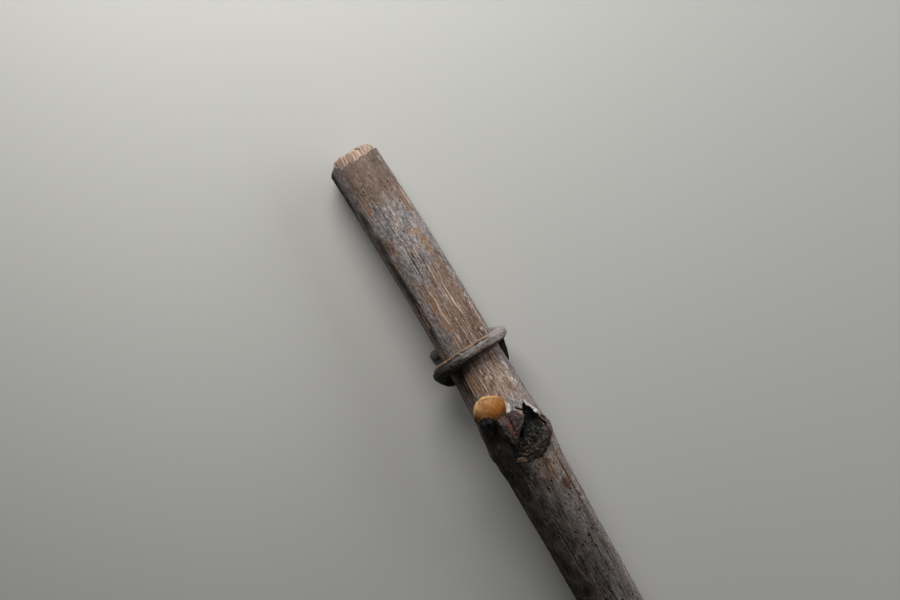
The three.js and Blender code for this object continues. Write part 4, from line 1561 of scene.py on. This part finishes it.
def scale_material(name, roughness, right):
    """The papery skin of the right scale, or of the left one."""
    material, paint, shader = new_material(name, roughness, specular=0.35 if right else 0.15)
    place = attribute(paint, "cane_place", vector=True)
    lengthwise, sideways, upward = parts_of(attribute(paint, "in_mound", vector=True))
    streaks = noise(place, (0.6, 2.6, 2.6), detail=4.0, rough=0.6)
    spots = noise(place, (2.6, 3.0, 3.0), detail=3.0, rough=0.6)
    if right:
        red = (sideways + (streaks - 0.5) * 1.1).smooth(0.30, 0.5)
        colour = coats(
            blend((streaks + lengthwise * 0.06).smooth(0.42, 0.62), SCALE_BLACK, SCALE_GREY),
            # Pink on the upper end and the right side, which face the light: pink skin and painted highlight.
            ((sideways - lengthwise * 0.9 + (spots - 0.5) * 1.6).smooth(0.0, 0.8) * 0.5, SCALE_PINK_HIGHLIGHT),
            (red, SCALE_RED),
            (red * (spots * 0.6 + streaks * 0.4).smooth(0.48, 0.62), SCALE_ORANGE),
            ((sideways + (spots - 0.5) * 0.4).smooth(0.80, 0.95), SCALE_PURPLE),
            # Painted highlight: a pink lip at the upper end.
            ((lengthwise + (spots - 0.5) * 0.35).smooth(-0.70, -0.85) * 0.45, SCALE_PINK_HIGHLIGHT),
            # Painted shade: the left side goes black.
            ((sideways + (spots - 0.5) * 0.8).smooth(-0.2, -0.55), SCALE_BLACK),
        )
    else:
        colour = coats(
            blend(streaks.smooth(0.50, 0.72), SCALE_BLACK, SCALE_PURPLE),
            # Painted highlight on the paler streaks.
            (streaks.smooth(0.64, 0.70) * 0.35, SCALE_PINK_HIGHLIGHT),
        )
    colour = coats(
        colour,
        (spots.smooth(0.47, 0.36) * 0.9, SCALE_BLACK),
        # Painted shade where the skin faces down towards the cane.
        ((upward + (spots - 0.5) * 1.2).smooth(0.70, 0.20), SCALE_BLACK),
    )
    paint_with(shader, colour, streaks, strength=0.7)
    return material


def shield(unit):
    """Blunt at the bud and drawn out to a narrow end."""
    wide = np.interp(unit[:, 0], [-1, -0.8, 0.0, 0.6, 1], [1.35, 1.25, 1.0, 0.8, 0.6])
    return np.stack([np.ones_like(wide), wide, wide], axis=-1)


right_tree = relief_tree(
    "right_scale_folds",
    {"Folds": 0.42, "Crumple": 0.26},
    scale_folds,
    scale_material("dry_bud_scale", 0.6, right=True),
)
left_tree = relief_tree(
    "left_scale_folds",
    {"Folds": 0.7, "Crumple": 0.24},
    scale_folds,
    scale_material("shrivelled_bud_scale", 0.5, right=False),
)
mesh = mound_mesh("scale_right", **SCALE_RIGHT, bulge=shield)
place_piece("scale_right", grow("scale_right", mesh, right_tree), "bud_scale_right")
mesh = mound_mesh("scale_left", **SCALE_LEFT)
place_piece("scale_left", grow("scale_left", mesh, left_tree), "bud_scale_left")


# The bud
# A winter bud wrapped in wool: a round core, and fine hairs matted flat on it in swirls, orange where they
# are deep and paler on the side that faces the weather, partly bleached and partly painted light. Its lower
# left side is painted shade.
BUD = {"station": 48.95, "turn": -21.5, "outside": 0.25, "half": (2.5, 2.85, 2.45)}
# The bleached colour is partly painted light, and the shaded one is painted shade.
WOOL_BLEACHED_AND_LIT = (0.66, 0.440, 0.220)
WOOL_ORANGE = (0.56, 0.245, 0.060)
WOOL_DEEP = (0.36, 0.125, 0.022)
WOOL_SHADED = (0.110, 0.056, 0.010)
# One hair: half its thickness and its length, how far it bows sideways and off the surface, and how
# far its ends are tucked in.
HAIR_HALF_THICK, HAIR_LENGTH = 0.024, 1.5
HAIR_BOW, HAIR_LIFT, HAIR_TUCK = 0.16, 0.14, 0.05
HAIR_TAPER = (0.5, 1.0, 1.0, 0.9, 0.35)
HAIR_SIDES = 3

wool_paint, paint, wool_shader = new_material("bud_wool", 0.95, specular=0.1)
wool_shader.inputs["Sheen Weight"].default_value = 0.12
wool_shader.inputs["Sheen Roughness"].default_value = 0.5
lengthwise, sideways, _ = parts_of(attribute(paint, "in_mound", vector=True))
hair_tone = attribute(paint, "hair_tone")
place = attribute(paint, "cane_place", vector=True)
matted = noise(place, (0.7, 0.7, 0.7), detail=3.0)
tufts = noise(place, (1.5, 1.5, 1.5), detail=5.0, rough=0.65, Distortion=0.8)
# Paler towards the tip side, which faces the weather and the lamp over the tip: partly bleached hair and
# partly painted light.
bleached = lengthwise * -0.8 - sideways * 0.25 + (matted - 0.5) + (hair_tone - 0.5) * 0.5
deep = lengthwise * 0.6 + sideways * 0.3 + (matted - 0.5) * 0.8 - hair_tone * 0.5
# Painted shade on the lower left side.
shaded_left_foot = sideways * -1.0 + lengthwise * 0.3 + (tufts - 0.5) * 0.5
wool_colour = coats(
    blend(bleached.smooth(-0.10, 0.80), WOOL_ORANGE, WOOL_BLEACHED_AND_LIT),
    (deep.smooth(-0.35, 0.45) * 0.8, WOOL_DEEP),
    ((tufts + hair_tone * 0.10).smooth(0.55, 0.45) * 0.85, WOOL_DEEP),
    (shaded_left_foot.smooth(0.15, 0.60) * 0.7, WOOL_SHADED),
)
paint_with(wool_shader, wool_colour)


def hair_mesh():
    """One short hair, bowed a little off the surface, with its ends tucked in."""
    share = np.linspace(0, 1, len(HAIR_TAPER))
    spin = np.arange(HAIR_SIDES) * 2 * math.pi / HAIR_SIDES
    thick = (HAIR_HALF_THICK * np.array(HAIR_TAPER))[:, None]
    x = (share - 0.5) * HAIR_LENGTH
    y = HAIR_BOW * np.sin(share * math.pi)
    z = HAIR_LIFT * np.sin(share * math.pi) - HAIR_TUCK
    rings = np.stack(
        [x[:, None] + 0 * spin, y[:, None] + thick * np.cos(spin), z[:, None] + thick * np.sin(spin)],
        axis=-1,
    )
    return mesh_from("wool_hair", *capped(rings, turned=True))


def facing(outward, sideways):
    """The turn that points a shape's Z outwards, with its X as near as can be to another way."""
    return node(
        outward.tree,
        "FunctionNodeAxesToRotation",
        {"Primary Axis": outward, "Secondary Axis": sideways},
        primary_axis="Z",
        secondary_axis="X",
    )


hair_object = bpy.data.objects.new("wool_hair", hair_mesh())
wool_tree, wool_in = tree_with_inputs("bud_wool", {"Hairs": 46.0, "Swirl": 2.4, "Lumps": 0.5, "Seed": 6})
spot = stored(wool_tree, "cane_place", "FLOAT_VECTOR")
lumps = (noise(spot, (0.5, 0.5, 0.5), detail=3.0) - 0.5) * wool_in["Lumps"]
core = store(pushed_out(wool_in["Geometry"], lumps), "hair_tone", 0.25)
scatter = wool_tree.nodes.new("GeometryNodeDistributePointsOnFaces")
wool_tree.links.new(core.socket, scatter.inputs["Mesh"])
wool_tree.links.new(wool_in["Hairs"].socket, scatter.inputs["Density"])
wool_tree.links.new(wool_in["Seed"].socket, scatter.inputs["Seed"])
hair_points = Field(wool_tree, scatter.outputs["Points"])
hair_points = store(hair_points, "hair_tone", random_value(wool_tree, 0.1, 1.0, 32))
hair_normal = Field(wool_tree, scatter.outputs["Normal"])
combed = node(wool_tree, "ShaderNodeVectorMath", (hair_normal, (0.35, 0.2, 1.0)), operation="CROSS_PRODUCT")
swirl = node(wool_tree, "ShaderNodeTexNoise", {"Vector": spot, "Scale": 0.32, "Detail": 1.0}, output="Color")
swirl = swirl.vector("SUBTRACT", (0.5, 0.5, 0.5)).scaled(wool_in["Swirl"] * 2.0)
stray = random_value(wool_tree, (-0.35, -0.35, -0.35), (0.35, 0.35, 0.35), 21, "FLOAT_VECTOR")
lie_flat = facing(hair_normal, combed.vector("ADD", swirl).vector("ADD", stray))
hair_source = node(wool_tree, "GeometryNodeObjectInfo", {"Object": hair_object}, output="Geometry")
hair_long = random_value(wool_tree, 0.65, 1.2, 30)
hair_size = combined(hair_long, hair_long, random_value(wool_tree, 0.5, 1.9, 31))
hairs = copies(hair_points, hair_source, lie_flat, hair_size)
joined = wool_tree.nodes.new("GeometryNodeJoinGeometry")
wool_tree.links.new(core.socket, joined.inputs[0])
wool_tree.links.new(hairs.socket, joined.inputs[0])
end_tree(Field(wool_tree, joined.outputs[0]), wool_paint)

mesh = mound_mesh("woolly_bud", **BUD)
place_piece("woolly_bud", grow("woolly_bud", mesh, wool_tree), "bud")
bpy.data.objects.remove(hair_object)


# The specks
# Small black fruiting bodies of a bark fungus, scattered over the skin, most of them below the node.
SPECK_COUNT = 2600
# The smallest and the largest half width in mm, and from which station on they are many.
SPECK_LEAST, SPECK_MOST = 0.03, 0.2
SPECKLED_FROM = 50
# How often a speck takes its place, and how far its half width spreads, before that and after.
SPECKS_FEW, SPECKS_MANY = (0.2, 0.02), (0.9, 0.045)
# The stations and turns of the node's pieces, which the specks keep off.
SPECK_FREE_STATIONS, SPECK_FREE_TURNS = (48, 60), (-45, 85)
draw_specks = np.random.default_rng(5)

speck_paint, paint, speck_shader = new_material("black_specks", 0.85, specular=0.1)
speck_shader.inputs["Base Color"].default_value = (*SPECK_BLACK, 1)
speck_tree, speck_in = tree_with_inputs("specks_on_bark", {"Length": 1.5, "Height": 0.2})
speck_ball = node(speck_tree, "GeometryNodeMeshIcoSphere", {"Radius": 1.0, "Subdivisions": 1}, output="Mesh")
speck_half = stored(speck_tree, "speck_size")
speck_size = combined(speck_half * speck_in["Length"], speck_half, speck_half * speck_in["Height"])
speck_turn = facing(stored(speck_tree, "out", "FLOAT_VECTOR"), (1.0, 0.0, 0.0))
speck_points = node(speck_tree, "GeometryNodeMeshToPoints", {"Mesh": speck_in["Geometry"]})
end_tree(copies(speck_points, speck_ball, speck_turn, speck_size), speck_paint)

stations, turns, sizes = [], [], []
while len(stations) < SPECK_COUNT:
    station, turn = draw_specks.uniform(1, 111), draw_specks.uniform(-180, 180)
    chance, spread = SPECKS_MANY if station >= SPECKLED_FROM else SPECKS_FEW
    at_node = SPECK_FREE_STATIONS[0] < station < SPECK_FREE_STATIONS[1]
    if draw_specks.uniform() > chance:
        continue
    if at_node and SPECK_FREE_TURNS[0] < turn < SPECK_FREE_TURNS[1]:
        continue
    stations.append(station)
    turns.append(turn)
    sizes.append(SPECK_LEAST + spread * draw_specks.exponential())
stations, turns = np.array(stations), np.array(turns)
mesh = bpy.data.meshes.new("bark_specks")
mesh.from_pydata(on_cane(stations, turns, 0.02).tolist(), [], [])
keep(mesh, "out", way_out(stations, turns))
keep(mesh, "speck_size", np.minimum(sizes, SPECK_MOST))
place_piece("bark_specks", grow("bark_specks", mesh, speck_tree), "cane")
